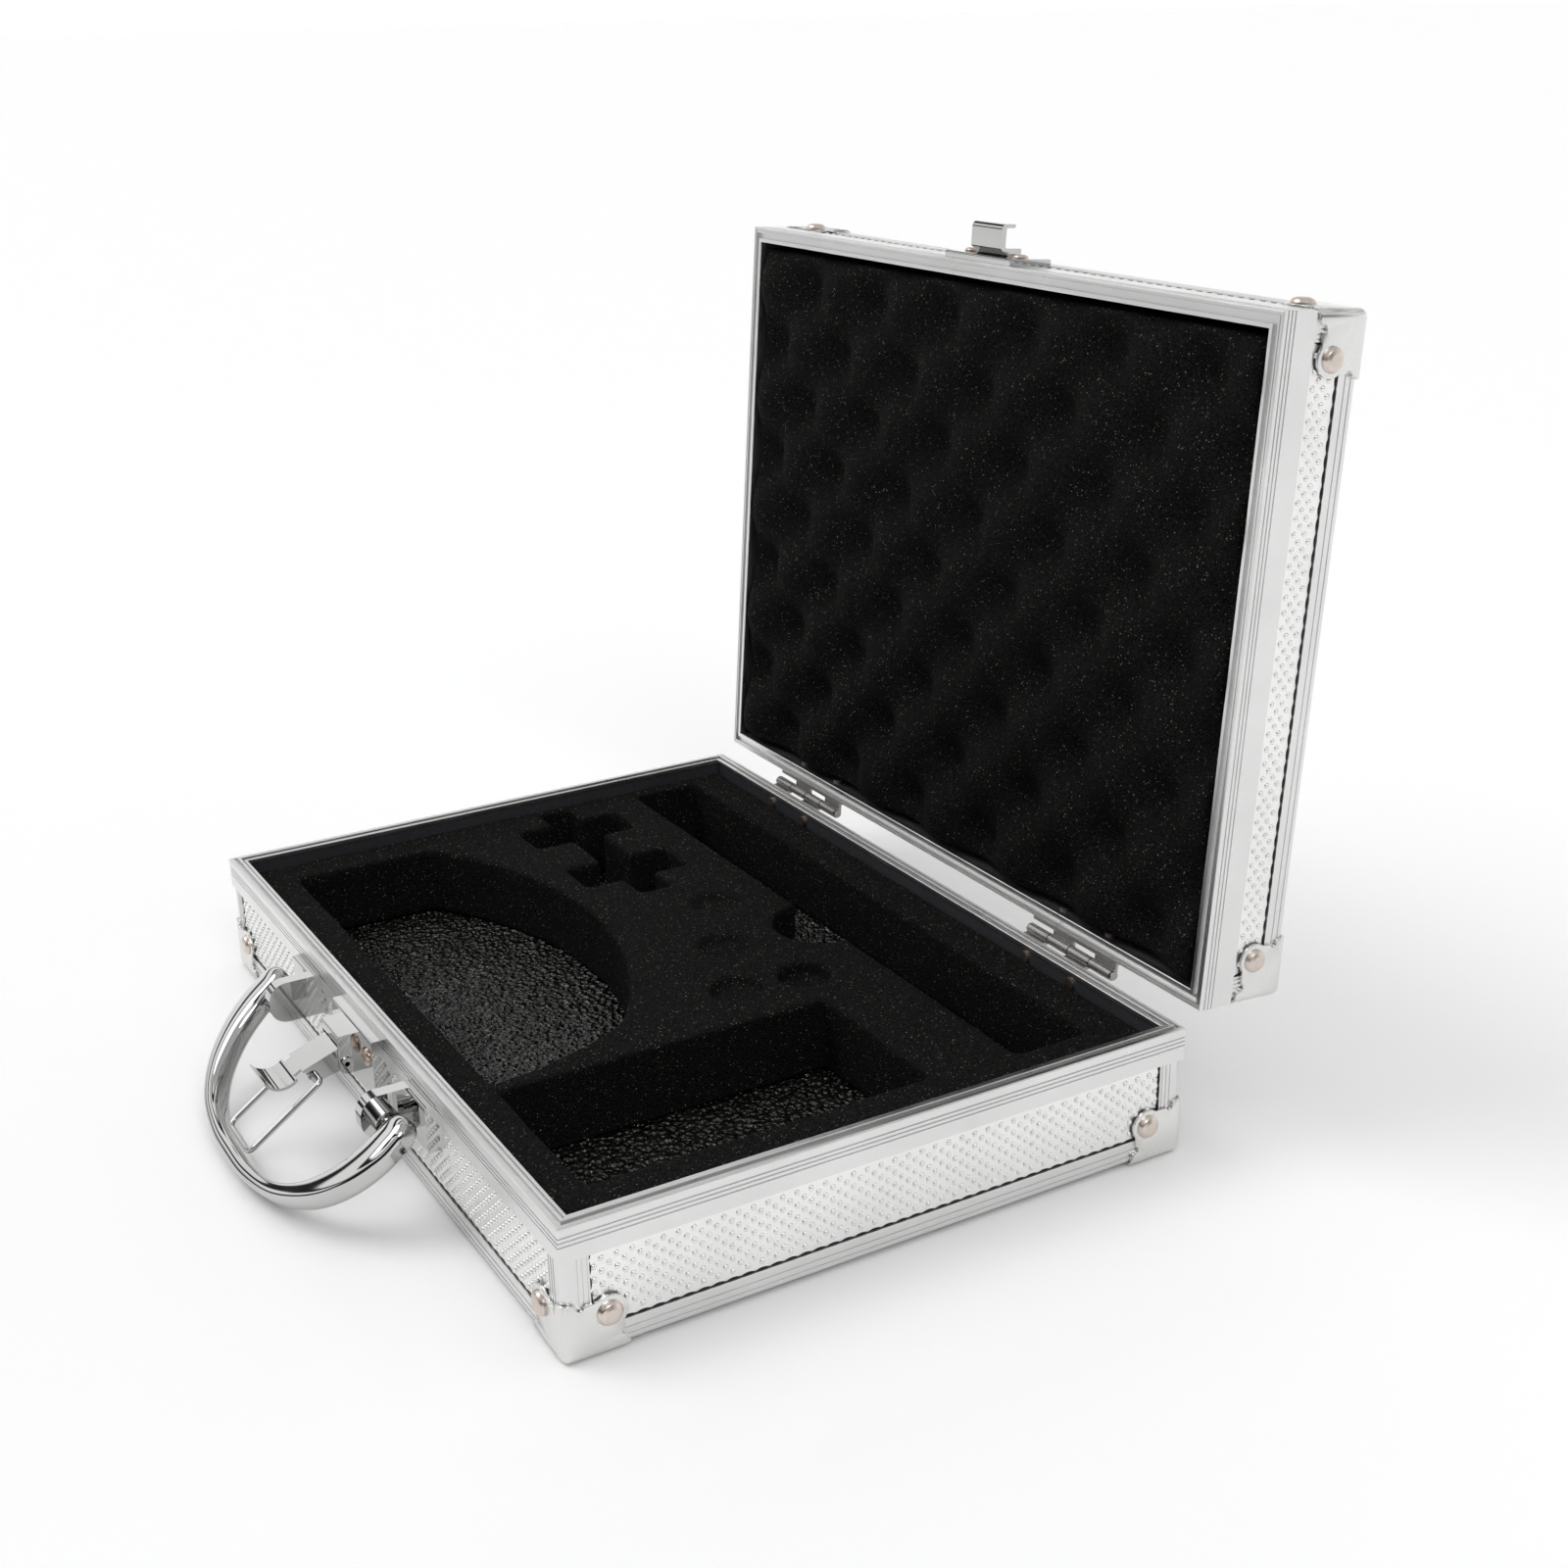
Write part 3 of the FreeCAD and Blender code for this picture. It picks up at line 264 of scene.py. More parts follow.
# Metals: name, two colours, lowest and highest roughness, scale and strength of the grain.
METALS = (
    ("rim_aluminium", (0.79, 0.79, 0.785), (0.72, 0.72, 0.715), 0.26, 0.38, 900.0, 0.05),
    ("panel_sheet", (0.92, 0.92, 0.91), (0.85, 0.85, 0.84), 0.26, 0.40, 600.0, 0.08),
    ("cap_steel", (0.77, 0.77, 0.755), (0.69, 0.69, 0.675), 0.20, 0.34, 700.0, 0.04),
    ("cap_rivet_steel", (0.74, 0.66, 0.60), (0.60, 0.53, 0.48), 0.24, 0.42, 900.0, 0.05),
    ("small_rivet", (0.72, 0.60, 0.53), (0.56, 0.45, 0.38), 0.22, 0.42, 900.0, 0.05),
    ("hinge_steel", (0.40, 0.39, 0.38), (0.28, 0.27, 0.26), 0.16, 0.34, 900.0, 0.05),
    ("chrome", (0.57, 0.57, 0.565), (0.50, 0.50, 0.495), 0.03, 0.08, 300.0, 0.012),
)


class Look:
    """A Principled material with small helpers to wire detail into it."""

    def __init__(self, name, colour, metallic=0.0, roughness=0.5, **sockets):
        self.material = bpy.data.materials.new(name)
        self.material.use_nodes = True
        self.tree = self.material.node_tree
        self.shader = self.tree.nodes["Principled BSDF"]
        self.shader.inputs["Base Color"].default_value = (*colour, 1)
        self.shader.inputs["Metallic"].default_value = metallic
        self.shader.inputs["Roughness"].default_value = roughness
        for socket, value in sockets.items():
            self.shader.inputs[socket.replace("_", " ")].default_value = value
        self.coords = self.add("ShaderNodeTexCoord").outputs["Object"]

    def add(self, kind, **settings):
        node = self.tree.nodes.new(kind)
        for key, value in settings.items():
            setattr(node, key, value)
        return node

    def link(self, start, end):
        self.tree.links.new(start, end)

    def stretched(self, scale):
        mapping = self.add("ShaderNodeMapping")
        mapping.inputs["Scale"].default_value = scale
        self.link(self.coords, mapping.inputs["Vector"])
        return mapping.outputs["Vector"]

    def noise(self, scale, detail=3.0, stretch=None):
        node = self.add("ShaderNodeTexNoise")
        node.inputs["Scale"].default_value = scale
        node.inputs["Detail"].default_value = detail
        node.inputs["Roughness"].default_value = NOISE_ROUGHNESS
        self.link(self.stretched(stretch) if stretch else self.coords, node.inputs["Vector"])
        return node.outputs["Fac"]

    def cells(self, scale):
        node = self.add("ShaderNodeTexVoronoi")
        node.inputs["Scale"].default_value = scale
        self.link(self.coords, node.inputs["Vector"])
        return node.outputs["Distance"]

    def ranged(self, value, low_in, high_in, low, high):
        node = self.add("ShaderNodeMapRange", clamp=True)
        for socket, number in (("From Min", low_in), ("From Max", high_in), ("To Min", low),
                               ("To Max", high)):
            node.inputs[socket].default_value = number
        self.link(value, node.inputs["Value"])
        return node.outputs["Result"]

    def mixed(self, factor, first, second):
        node = self.add("ShaderNodeMix", data_type="RGBA")
        self.link(factor, node.inputs["Factor"])
        for socket, colour in (("A", first), ("B", second)):
            end = [s for s in node.inputs if s.name == socket and s.type == "RGBA"][0]
            if isinstance(colour, tuple):
                end.default_value = (*colour, 1)
            else:
                self.link(colour, end)
        return [s for s in node.outputs if s.type == "RGBA"][0]

    def colour(self, source):
        self.link(source, self.shader.inputs["Base Color"])

    def roughness(self, source):
        self.link(source, self.shader.inputs["Roughness"])

    def bump(self, layers):
        """Bumps from (value, strength, distance) layers, chained."""
        last = None
        for value, strength, distance in layers:
            node = self.add("ShaderNodeBump")
            node.inputs["Strength"].default_value = strength
            node.inputs["Distance"].default_value = distance
            self.link(value, node.inputs["Height"])
            if last:
                self.link(last, node.inputs["Normal"])
            last = node.outputs["Normal"]
        self.link(last, self.shader.inputs["Normal"])


def metal(name, colour, second, low_rough, high_rough, grain, grain_strength):
    """A metal with cloudy colour, smudged gloss and a fine grain."""
    look = Look(name, colour, 1.0, low_rough)
    cloud = look.ranged(look.noise(CLOUD_SCALE, 4.0), 0.35, 0.7, 0.0, 1.0)
    look.colour(look.mixed(cloud, colour, second))
    smudges = look.noise(SMUDGE_SCALE, 5.0)
    look.roughness(look.ranged(smudges, 0.3, 0.75, low_rough, high_rough))
    look.bump([(look.noise(grain, 2.0), grain_strength, 0.0002)])
    return look.material


def foam_look(name, colour, glint_colour, pores):
    """Open-cell foam: deep pores, painted glints that make tiny cell walls look bright, and a soft
    uneven surface.
    """
    look = Look(name, colour, 0.0, 0.95)
    look.shader.inputs["Specular IOR Level"].default_value = 0.05
    cell = look.cells(pores)
    glint = look.ranged(look.cells(pores * 0.55), 0.12, 0.22, 1.0, 0.0)
    patch = look.ranged(look.noise(pores * 0.35, 2.0), 0.48, 0.60, 0.0, 1.0)
    # Painted highlight: small patches of bright specks in the glint colour stand in for light
    # caught on the cell walls.
    glint_speck = look.add("ShaderNodeMath", operation="MULTIPLY")
    look.link(glint, glint_speck.inputs[0])
    look.link(patch, glint_speck.inputs[1])
    cloud = look.ranged(look.noise(pores * 0.8, 2.0), 0.4, 0.65, 0.0, 1.0)
    shade = look.mixed(cloud, colour, tuple(3.2 * c for c in colour))
    look.colour(look.mixed(glint_speck.outputs[0], shade, glint_colour))
    look.bump([(look.noise(60.0, 3.0), 0.15, 0.0012), (cell, 0.9, 0.0006)])
    return look.material


def build_materials():
    """One material for each slot, and two more: the painted shade in the gaps, and the pebbled
    pad.
    """
    looks = {settings[0]: metal(*settings) for settings in METALS}

    board = Look("backing_board", (0.42, 0.31, 0.21), 0.0, 0.85)
    fibre = board.noise(120.0, 6.0, (1.0, 1.0, 6.0))
    board.colour(board.mixed(fibre, (0.48, 0.36, 0.25), (0.33, 0.24, 0.16)))
    board.bump([(fibre, 0.4, 0.0003)])
    looks["backing_board"] = board.material

    liner = Look("liner_plastic", (0.035, 0.036, 0.04), 0.0, 0.22)
    cloud = liner.noise(18.0, 3.0)
    liner.colour(liner.mixed(cloud, (0.030, 0.031, 0.035), (0.060, 0.062, 0.068)))
    liner.roughness(liner.ranged(liner.noise(55.0, 4.0), 0.3, 0.7, 0.14, 0.34))
    liner.bump([(liner.noise(40.0, 2.0), 0.15, 0.0006)])
    looks["liner_plastic"] = liner.material

    # Painted shade: a near-black material for the strips that stand in for the shadow in the gaps
    # round the wall sheets.
    gap_shade = Look("gap_shade", (0.006, 0.006, 0.006), 0.0, 0.8)
    gap_shade.colour(gap_shade.mixed(gap_shade.noise(400.0), (0.004, 0.004, 0.004), (0.020, 0.020, 0.020)))
    looks["gap_shade"] = gap_shade.material

    # The foam's glint colour is a painted highlight for light caught on its cell walls.
    looks["foam"] = foam_look("foam", (0.0046, 0.0045, 0.0044), (0.30, 0.25, 0.20), 1900.0)
    pebble = Look("pebbled_pad", (0.006, 0.006, 0.006), 0.0, 0.35, Specular_IOR_Level=0.6)
    lumps = pebble.cells(PAD_PEBBLES)
    pebble.roughness(pebble.ranged(pebble.noise(300.0, 3.0), 0.35, 0.65, 0.12, 0.42))
    cloud = pebble.noise(160.0, 3.0)
    pebble.colour(pebble.mixed(cloud, (0.002, 0.002, 0.002), (0.009, 0.008, 0.006)))
    pebble.bump([(lumps, 1.0, 0.0022), (pebble.noise(900.0, 2.0), 0.3, 0.0004)])
    looks["pebbled_pad"] = pebble.material
    return looks


LOOKS = build_materials()


def paint_frame():
    """Every CAD node gets the material of its slot."""
    for node, obj in frame["nodes"].items():
        obj.data.materials.clear()
        obj.data.materials.append(LOOKS[SLOTS[node]])


def break_edges(node, width):
    """Rounds the sharp edges of a CAD node for its looks."""
    obj = frame["nodes"][node]
    weld = obj.modifiers.new("weld", "WELD")
    weld.merge_threshold = WELD_REACH
    bevel = obj.modifiers.new("broken_edges", "BEVEL")
    bevel.width = width
    bevel.segments = 2
    bevel.limit_method = "ANGLE"
    bevel.angle_limit = math.radians(SHARP_ANGLE)
    bevel.harden_normals = True
    bevel.use_clamp_overlap = True
    set_smooth(obj, True)


# ---- embossed sheets ----
def bead_points(length, low, high, covered):
    """Centres of a staggered bead pattern between two heights, clear of the covered patches."""
    points = []
    rows = int((high - low) / (BEAD_PITCH_UP / 2)) + 1
    start = (low + high) / 2 - (rows - 1) * BEAD_PITCH_UP / 4
    for row in range(rows):
        v = start + row * BEAD_PITCH_UP / 2
        if v - BEAD_RADIUS < low or v + BEAD_RADIUS > high:
            continue
        shift = BEAD_PITCH_ALONG / 2 if row % 2 else 0.0
        columns = int(length / BEAD_PITCH_ALONG) + 2
        for column in range(-columns // 2, columns // 2 + 1):
            u = column * BEAD_PITCH_ALONG + shift
            if abs(u) + BEAD_RADIUS > length / 2:
                continue
            if any(a < u < b and c < v < d for a, b, c, d in covered):
                continue
            points.append((u, v))
    return points


def embossed_sheet(name, half_length, foot, top, bead_length, bead_low, bead_high, covered, place,
                   sides=BEAD_SIDES, levels=BEAD_LEVELS):
    """A thin sheet in the plane (u, v), facing +w, with raised beads pressed out of it."""
    corners = [(-half_length, foot), (half_length, foot), (half_length, top), (-half_length, top)]
    verts = [(u, v, w) for w in (-SHEET, 0.0) for u, v in corners]
    faces = [(3, 2, 1, 0), (4, 5, 6, 7), (0, 1, 5, 4), (1, 2, 6, 5), (2, 3, 7, 6), (3, 0, 4, 7)]
    angles = [2 * math.pi * k / sides for k in range(sides)]
    ring = [(math.cos(angle), math.sin(angle)) for angle in angles]
    for u, v in bead_points(bead_length, bead_low, bead_high, covered):
        first = len(verts)
        for size, rise in levels:
            verts += [(u + BEAD_RADIUS * size * a, v + BEAD_RADIUS * size * b, BEAD_RISE * rise)
                      for a, b in ring]
        verts.append((u, v, BEAD_RISE))
        for level in range(len(levels) - 1):
            low = first + level * sides
            high = low + sides
            faces += [(low + k, low + (k + 1) % sides, high + (k + 1) % sides, high + k)
                      for k in range(sides)]
        last = first + (len(levels) - 1) * sides
        peak = first + len(levels) * sides
        faces += [(last + k, last + (k + 1) % sides, peak) for k in range(sides)]
        faces.append(tuple(range(first + sides - 1, first - 1, -1)))
    obj = new_object(name, verts, faces)
    for polygon in obj.data.polygons[:6]:
        polygon.use_smooth = False
    obj.data.transform(place)
    return obj


def wall_matrix(side):
    """From sheet axes (u along, v up, w out) to tray coordinates, for one wall."""
    turn = {"front": 0, "right": 1, "back": 2, "left": 3}[side]
    reach = HALF_Y if side in ("front", "back") else HALF_X
    stand = Matrix(((1, 0, 0, 0), (0, 0, -1, -(reach - SKIN_INSET)), (0, 1, 0, 0), (0, 0, 0, 1)))
    return Matrix.Rotation(turn * math.pi / 2, 4, "Z") @ stand


def tray_sheets(tray, body, place, visible_top, sheet_top, front_covered):
    """The four embossed walls of one tray, dark strips of painted shade in the gaps at their
    edges, and the embossed floor.
    """
    for side in ("front", "right", "back", "left"):
        half = (HALF_X if side in ("front", "back") else HALF_Y) - SKIN_INSET
        inner = half + SKIN_INSET - POST_LEG
        covered = front_covered if side == "front" else ()
        wall = place @ wall_matrix(side)
        obj = embossed_sheet(f"{tray}_{side}_sheet", half - SHEET, SKIN_FOOT, sheet_top, 2 * inner,
                             RAIL_TOP, visible_top, covered, wall)
        dressed(obj, LOOKS["panel_sheet"], body, "panel_sheet", f"{tray}_wall_skins")
        upright = visible_top - RAIL_TOP
        middle = RAIL_TOP + upright / 2
        edges = (("foot", 2 * inner, (0, RAIL_TOP, 0), 0),
                 ("left", upright, (-inner, middle, 0), -math.pi / 2),
                 ("right", upright, (inner, middle, 0), math.pi / 2))
        for edge, length, at, turn in edges:
            spot = Matrix.Translation(at) @ Matrix.Rotation(turn, 4, "Z")
            # Painted shade: a dark strip laid where the gap to the trim lies in shadow.
            strip = gap_shade_strip(f"{tray}_{side}_gap_{edge}", length, wall @ spot)
            dressed(strip, LOOKS["gap_shade"], body, "liner_plastic")
    inner_x = HALF_X - POST_LEG
    inner_y = HALF_Y - POST_LEG
    face_down = Matrix(((1, 0, 0, 0), (0, -1, 0, 0), (0, 0, -1, FLOOR_FACE), (0, 0, 0, 1)))
    across = ((-HALF_X, -HALF_X + CAP_COVER), (HALF_X - CAP_COVER, HALF_X))
    along = ((-HALF_Y, -HALF_Y + CAP_COVER), (HALF_Y - CAP_COVER, HALF_Y))
    corners = [(a, b, c, d) for a, b in across for c, d in along]
    name = "base_floor" if tray == "base" else "lid_top"
    edge_y = HALF_Y - FLOOR_INSET
    obj = embossed_sheet(f"{name}_sheet", HALF_X - FLOOR_INSET, -edge_y, edge_y, 2 * inner_x,
                         -inner_y, inner_y, corners, place @ face_down,
                         sides=LARGE_SHEET_SIDES, levels=LARGE_SHEET_LEVELS)
    dressed(obj, LOOKS["panel_sheet"], body, "panel_sheet", f"{name}_skin")


def gap_shade_strip(name, length, place):
    """A dark scalloped strip of painted shade along one edge of a wall sheet, lying just proud of
    it.
    """
    steps = int(length / (BEAD_PITCH_ALONG / GAP_SHADE_STEPS_PER_BEAD))
    verts = []
    for i in range(steps + 1):
        u = -length / 2 + length * i / steps
        wave = GAP_SHADE_WAVE * abs(math.sin(math.pi * u / BEAD_PITCH_ALONG)) ** GAP_SHADE_CURVE
        width = GAP_SHADE_WIDTH + wave - GAP_SHADE_WAVE
        verts += [(u, 0, 0), (u, width, 0), (u, width, GAP_SHADE_PROUD), (u, 0, GAP_SHADE_PROUD)]
    faces = [(a + k, a + 4 + k, a + 4 + (k + 1) % 4, a + (k + 1) % 4)
             for a in range(0, 4 * steps, 4) for k in range(4)]
    faces += [(3, 2, 1, 0), (4 * steps, 4 * steps + 1, 4 * steps + 2, 4 * steps + 3)]
    obj = new_object(name, verts, faces, False)
    outward(obj)
    obj.data.transform(place)
    return obj


# ---- foam ----
def soft_copy(node, name, voxel, wobble):
    """A soft-edged copy of a CAD foam block, remeshed and slightly uneven."""
    obj = bpy.data.objects.new(name, frame["nodes"][node].data.copy())
    bpy.context.scene.collection.objects.link(obj)
    remesh = obj.modifiers.new("remesh", "REMESH")
    remesh.mode = "VOXEL"
    remesh.voxel_size = voxel
    soften = obj.modifiers.new("soften", "SMOOTH")
    soften.factor = 0.5
    soften.iterations = 2
    baked(obj)
    mesh = obj.data
    points = np.zeros(3 * len(mesh.vertices))
    normals = np.zeros(3 * len(mesh.vertices))
    mesh.vertices.foreach_get("co", points)
    mesh.vertices.foreach_get("normal", normals)
    points = points.reshape(-1, 3)
    normals = normals.reshape(-1, 3)
    lift = np.array([noise.noise(p * 70.0) + 0.5 * noise.noise(p * 210.0)
                     for p in map(Vector, points)])
    points += normals * (wobble * (lift - 0.6))[:, None]
    mesh.vertices.foreach_set("co", points.ravel())
    mesh.update()
    set_smooth(obj, True)
    return obj


def crate_height(x, y):
    """0 in the valleys and 1 on the crests of the egg-crate pattern, in the shut row frame."""
    a = (x - CRATE_CENTRE[0]) / CRATE_PITCH_X
    b = (y - CRATE_CENTRE[1]) / CRATE_PITCH_Y
    wave = np.cos(2 * np.pi * (a + b)) + np.cos(2 * np.pi * (a - b))
    return np.clip(0.5 + 0.25 * wave, 0, 1) ** CRATE_POWER


def even_steps(half, step):
    """Places from one side to the other, about a step apart."""
    return np.linspace(-half, half, int(2 * half / step))


def lid_foam():
    """Egg-crate foam: a lattice of soft bumps, trimmed straight at its edges."""
    xs = even_steps(LID_FOAM_HALF_X, LID_FOAM_STEP)
    ys = even_steps(LID_FOAM_HALF_Y, LID_FOAM_STEP)
    grid_x, grid_y = np.meshgrid(xs, ys, indexing="ij")
    rise = crate_height(grid_x, grid_y)
    face = LID_VALLEY - (LID_VALLEY - LID_CREST) * rise
    wobble = np.array([[noise.noise((x * 45, y * 45, 0.3))
                        + 0.4 * noise.noise((x * 160, y * 160, 1.7))
                        for y in ys] for x in xs])
    face = face + LID_FOAM_UNEVEN * (wobble + 1.1)
    edge = np.minimum(LID_FOAM_HALF_X - np.abs(grid_x), LID_FOAM_HALF_Y - np.abs(grid_y))
    face = face + LID_FOAM_EDGE_SINK * np.clip(1 - edge / LID_FOAM_EDGE_WIDTH, 0, 1) ** 2
    block = height_block("lid_egg_crate_foam", xs, ys, face, LID_FOAM_BACK)
    outward(block)
    block.data.transform(lid_open_matrix() @ base_place())
    dressed(block, LOOKS["foam"], "lid", "foam", "lid_convoluted_foam")


def base_pad():
    """The pebbled pad that floors the pockets."""
    xs = even_steps(FOAM_HALF_X, PAD_STEP)
    ys = even_steps(FOAM_HALF_Y, PAD_STEP)
    lumps = np.array([[noise.voronoi((x * PAD_PEBBLES, y * PAD_PEBBLES, 0.0))[0][0]
                       for y in ys] for x in xs])
    face = PAD_FACE - PAD_LUMP * np.clip(lumps, 0, 1)
    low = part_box("base_foam_pad")[0][2]
    pad = height_block("base_pebbled_pad", xs, ys, face, low)
    outward(pad)
    pad.data.transform(base_place())
    dressed(pad, LOOKS["pebbled_pad"], "base", "foam", "base_foam_pad")


# ---- handle ----
def smooth_curve(points, steps):
    """A Catmull-Rom curve through the points and their mirror images, steps per span."""
    knots = [(x, s) for x, s in points] + [(-x, s) for x, s in reversed(points[:-1])]
    knots = [Vector((x * MM, s * MM)) for x, s in knots]
    padded = [2 * knots[0] - knots[1]] + knots + [2 * knots[-1] - knots[-2]]
    curve = []
    for i in range(1, len(padded) - 2):
        a, b, c, d = padded[i - 1:i + 3]
        for k in range(steps):
            t = k / steps
            curve.append(0.5 * (2 * b + (c - a) * t + (2 * a - 5 * b + 4 * c - d) * t * t
                                + (3 * b - a - 3 * c + d) * t ** 3))
    curve.append(knots[-1])
    return curve


def handle():
    """The bow handle: one rounded bar swept round the bow, with closed eyes on the pivots."""
    sides = HANDLE_SIDES
    angles = [2 * math.pi * k / sides for k in range(sides)]
    ring = [tuple(math.copysign(abs(value) ** HANDLE_SECTION_POWER, value)
                  for value in (math.cos(angle), math.sin(angle))) for angle in angles]
    sections = []
    outer = smooth_curve(HANDLE_OUTER, HANDLE_STEPS)
    inner = smooth_curve(HANDLE_INNER, HANDLE_STEPS)
    for o, i in zip(outer, inner):
        sections.append(((o + i) / 2, (o - i).normalized(), (o - i).length / 2, HANDLE_HALF))
    for end, order in ((0, -1), (-1, 1)):
        centre, direction, half, height = sections[end]
        caps = []
        for k in range(1, HANDLE_CAP_STEPS + 1):
            turn = math.radians(HANDLE_CAP_TURN) * k / HANDLE_CAP_STEPS
            place = centre - Vector((0, HANDLE_EYE_REACH * math.sin(turn)))
            caps.append((place, direction, half * math.cos(turn), height * math.cos(turn) ** 0.5))
        sections = sections + caps if order > 0 else caps[::-1] + sections
    verts = []
    for centre, direction, half, height in sections:
        for a, b in ring:
            spot = centre + direction * (half * a)
            verts.append((spot.x, -spot.y, height * b))
    rows = len(sections)
    faces = [(r * sides + k, r * sides + (k + 1) % sides, (r + 1) * sides + (k + 1) % sides,
              (r + 1) * sides + k) for r in range(rows - 1) for k in range(sides)]
    faces += [tuple(range(sides)),
              tuple(range(rows * sides - 1, (rows - 1) * sides - 1, -1))]
    grip = new_object("handle_bow", verts, faces)
    outward(grip)
    bpy.ops.mesh.primitive_cylinder_add(vertices=48, radius=HANDLE_BORE,
                                        depth=2 * HANDLE_BORE_END,
                                        rotation=(0, math.pi / 2, 0))
    drill = bpy.context.object
    bore = grip.modifiers.new("bore", "BOOLEAN")
    bore.object = drill
    bore.solver = "EXACT"
    bpy.context.view_layer.update()
    baked(grip)
    bpy.data.objects.remove(drill)
    pivot = Vector(JOINTS["handle_hinge"]["pos_m"])
    droop = math.radians(90 - JOINTS["handle_hinge"]["range_deg"][1])
    grip.data.transform(Matrix.Translation(pivot) @ Matrix.Rotation(droop, 4, "X"))
    dressed(grip, LOOKS["chrome"], "handle", "chrome", "handle_grip")


# ---- studio ----
def surroundings():
    """A white room with dark bands that only reflections and soft light see."""
    world = bpy.data.worlds.new("studio_world")
    bpy.context.scene.world = world
    world.use_nodes = True
    nodes, links = world.node_tree.nodes, world.node_tree.links
    background = nodes["Background"]
    background.inputs["Strength"].default_value = ROOM_LIGHT
    direction = nodes.new("ShaderNodeTexCoord").outputs["Generated"]
    split = nodes.new("ShaderNodeSeparateXYZ")
    links.new(direction, split.inputs[0])
    height = split.outputs["Z"]
    path = nodes.new("ShaderNodeLightPath").outputs

    def ranged(value, start, end, full=1.0):
        node = nodes.new("ShaderNodeMapRange")
        node.inputs["From Min"].default_value = start
        node.inputs["From Max"].default_value = end
        node.inputs["To Max"].default_value = full
        links.new(value, node.inputs["Value"])
        return node.outputs["Result"]

    def joined(operation, first, second):
        node = nodes.new("ShaderNodeMath")
        node.operation = operation
        node.use_clamp = True
        links.new(first, node.inputs[0])
        links.new(second, node.inputs[1])
        return node.outputs[0]

    bands = nodes.new("ShaderNodeValToRGB")
    links.new(height, bands.inputs["Fac"])
    ramp = bands.color_ramp.elements
    ramp[0].color = ramp[1].color = (0, 0, 0, 1)
    for low, high in DARK_BANDS:
        stops = ((low - BAND_EDGE, 0), (low, 1), (high, 1), (high + BAND_EDGE, 0))
        for position, level in stops:
            ramp.new(position).color = (level, level, level, 1)
    dark = bands.outputs["Color"]
    for side, turn_start, turn_end, high, low in DARK_WALLS:
        facing = nodes.new("ShaderNodeVectorMath")
        facing.operation = "DOT_PRODUCT"
        facing.inputs[1].default_value = side
        links.new(direction, facing.inputs[0])
        wall = joined("MULTIPLY", ranged(facing.outputs["Value"], turn_start, turn_end),
                      ranged(height, high, low))
        dark = joined("MAXIMUM", dark, wall)
    overhead = ranged(height, *OVERHEAD)
    dark = joined("MAXIMUM", dark, joined("MULTIPLY", overhead, path["Is Glossy Ray"]))
    dark = joined("SUBTRACT", dark, path["Is Camera Ray"])
    mix = nodes.new("ShaderNodeMix")
    mix.data_type = "RGBA"
    links.new(dark, mix.inputs["Factor"])
    ends = [socket for socket in mix.inputs if socket.type == "RGBA"]
    ends[0].default_value = ROOM_WHITE
    ends[1].default_value = ROOM_DARK
    result = [socket for socket in mix.outputs if socket.type == "RGBA"][0]
    links.new(result, background.inputs["Color"])


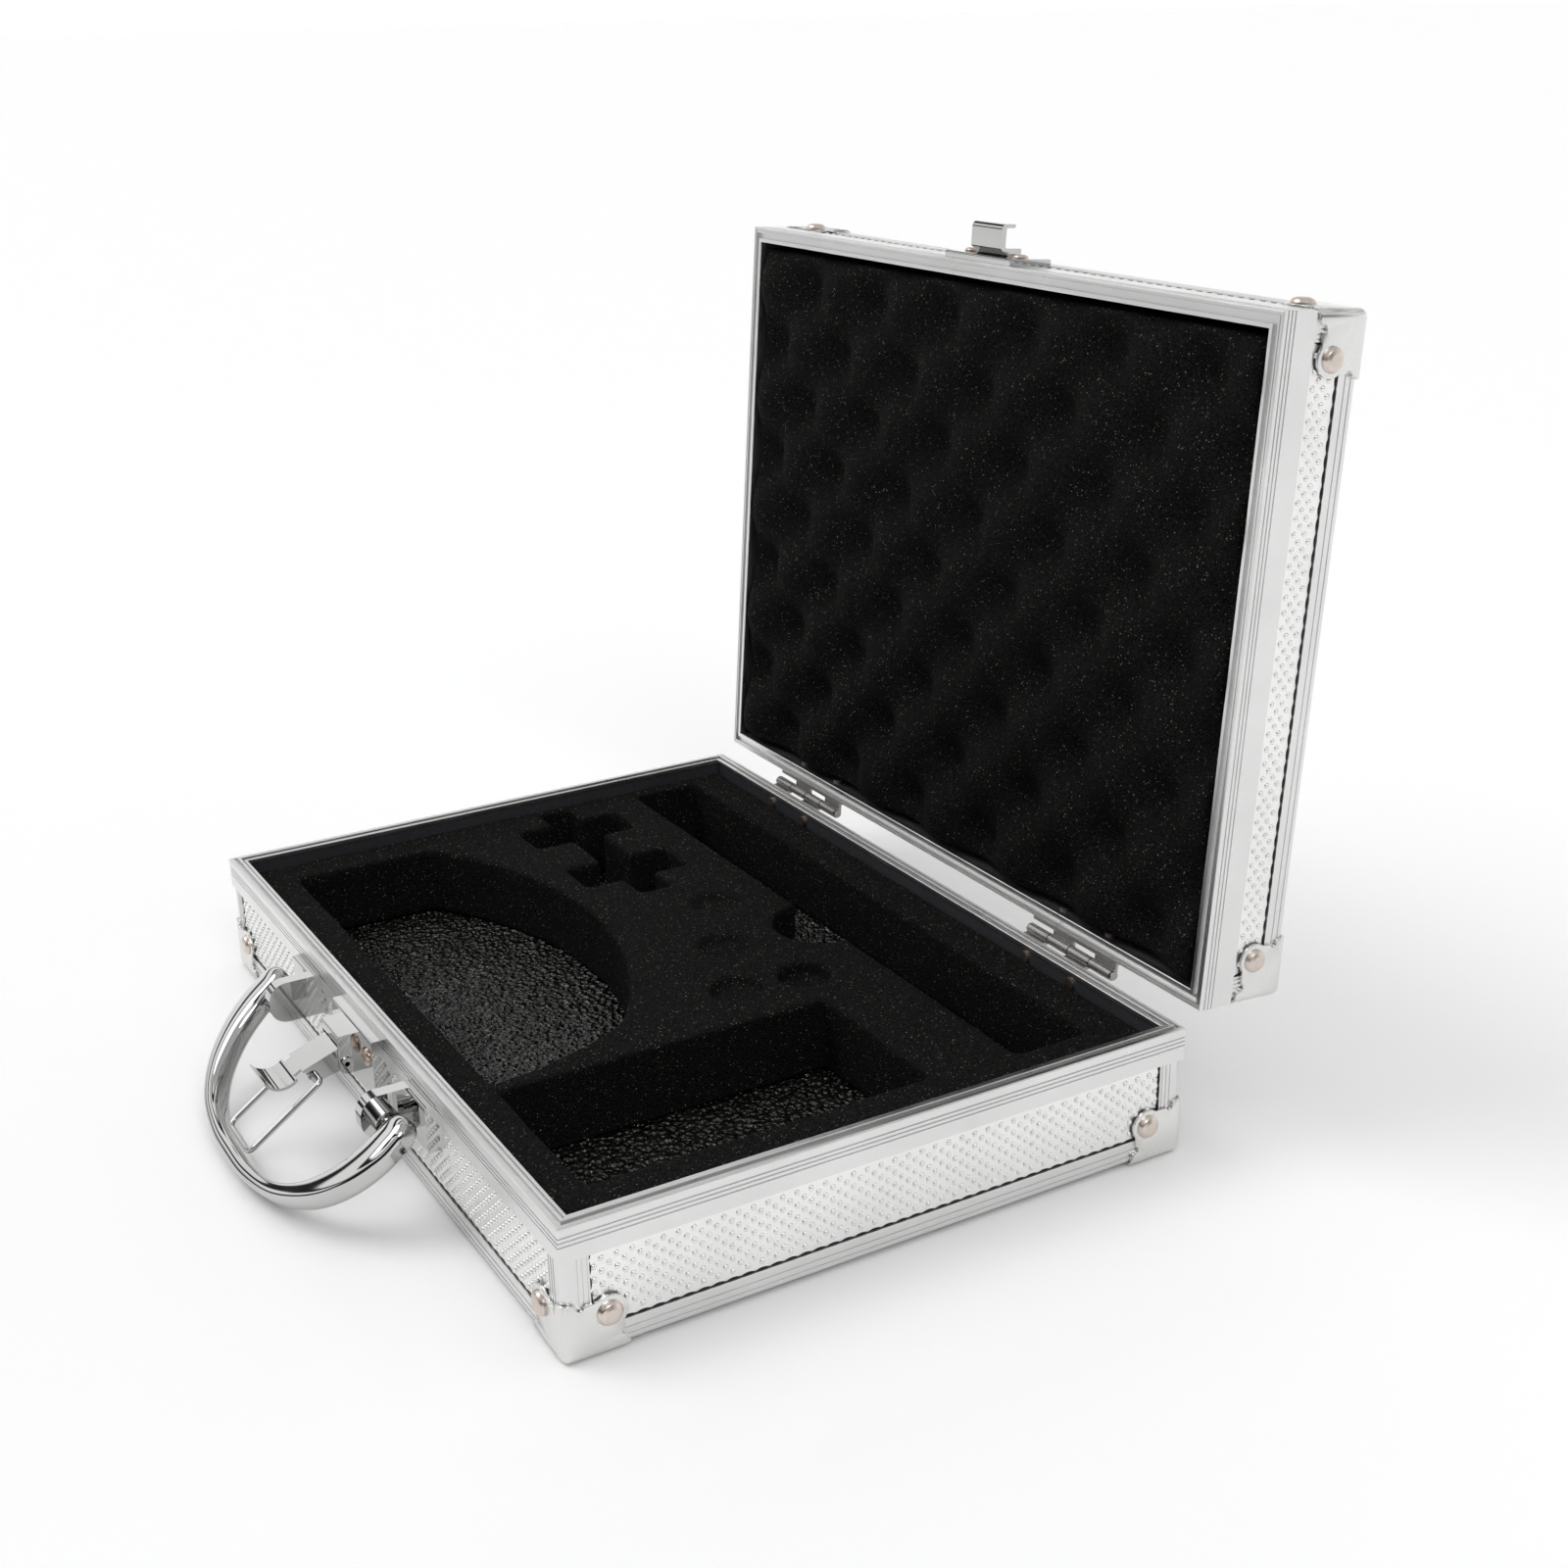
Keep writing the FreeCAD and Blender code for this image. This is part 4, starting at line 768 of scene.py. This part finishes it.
def studio():
    """Pale floor, soft lights and two dark cards that give the chrome something to reflect."""
    bpy.context.scene.view_settings.view_transform = "Standard"
    bpy.ops.mesh.primitive_plane_add(size=FLOOR_SIZE, location=(0, 0, -FLOOR_DROP))
    floor = bpy.context.object
    floor.name = "studio_floor"
    pale = Look("studio_floor", (0.92, 0.92, 0.92), 0.0, 0.75)
    pale.bump([(pale.noise(300.0, 2.0), 0.02, 0.0003)])
    floor.data.materials.append(pale.material)

    surroundings()
    for name, towards, strength, spread in SUNS:
        data = bpy.data.lights.new(name, "SUN")
        data.energy = strength
        data.angle = math.radians(spread)
        light = bpy.data.objects.new(name, data)
        light.rotation_euler = Vector(towards).to_track_quat("Z", "Y").to_euler()
        bpy.context.scene.collection.objects.link(light)

    dark = Look("dark_card", (0.01, 0.01, 0.01), 0.0, 0.9)
    dark.colour(dark.mixed(dark.noise(3.0), (0.008, 0.008, 0.008), (0.014, 0.014, 0.014)))
    for name, place, size in CARDS:
        bpy.ops.mesh.primitive_plane_add(size=1.0, location=place)
        card = bpy.context.object
        card.name = name
        card.scale = (*size, 1)
        towards = Vector(CARD_AIM) - Vector(place)
        card.rotation_euler = towards.to_track_quat("Z", "Y").to_euler()
        card.data.materials.append(dark.material)
        card.visible_camera = False
        card.visible_shadow = False
        card.visible_diffuse = False


def camera():
    """A camera at the viewing angle of the reference: high, in front and to the right."""
    azimuth = math.radians(CAMERA_AZIMUTH)
    elevation = math.radians(CAMERA_ELEVATION)
    roll = math.radians(CAMERA_ROLL)
    x, y, z = CAMERA_PLACE
    place = Vector((x, y + CENTRE_Y, z))
    forward = Vector((-math.sin(azimuth) * math.cos(elevation),
                      math.cos(azimuth) * math.cos(elevation),
                      -math.sin(elevation)))
    right = Vector((math.cos(azimuth), math.sin(azimuth), 0))
    up = right.cross(forward)
    tilted_right = right * math.cos(roll) + up * math.sin(roll)
    tilted_up = up * math.cos(roll) - right * math.sin(roll)
    turn = Matrix((tilted_right, tilted_up, -forward)).transposed().to_4x4()
    data = bpy.data.cameras.new("camera")
    data.sensor_width = CAMERA_SENSOR
    data.lens = CAMERA_LENS
    data.clip_start = 0.01
    cam = bpy.data.objects.new("camera", data)
    cam.matrix_world = Matrix.Translation(place) @ turn
    bpy.context.scene.collection.objects.link(cam)
    bpy.context.scene.camera = cam


# ---- put it together ----
paint_frame()
break_edges("base_corner_caps", CAP_EDGE_WIDTH)
break_edges("lid_corner_caps", CAP_EDGE_WIDTH)
tray_sheets("base", "base", base_place(), BASE_VISIBLE_TOP, BASE_SHEET_TOP, BASE_FRONT_COVERED)
tray_sheets("lid", "lid", lid_place(), LID_VISIBLE_TOP, LID_SHEET_TOP, LID_FRONT_COVERED)

insert = soft_copy("base_foam_insert", "base_soft_insert", INSERT_VOXEL, INSERT_WOBBLE)
dressed(insert, LOOKS["foam"], "base", "foam", "base_foam_insert")
base_pad()
lid_foam()
handle()
studio()
camera()

bpy.context.view_layer.update()
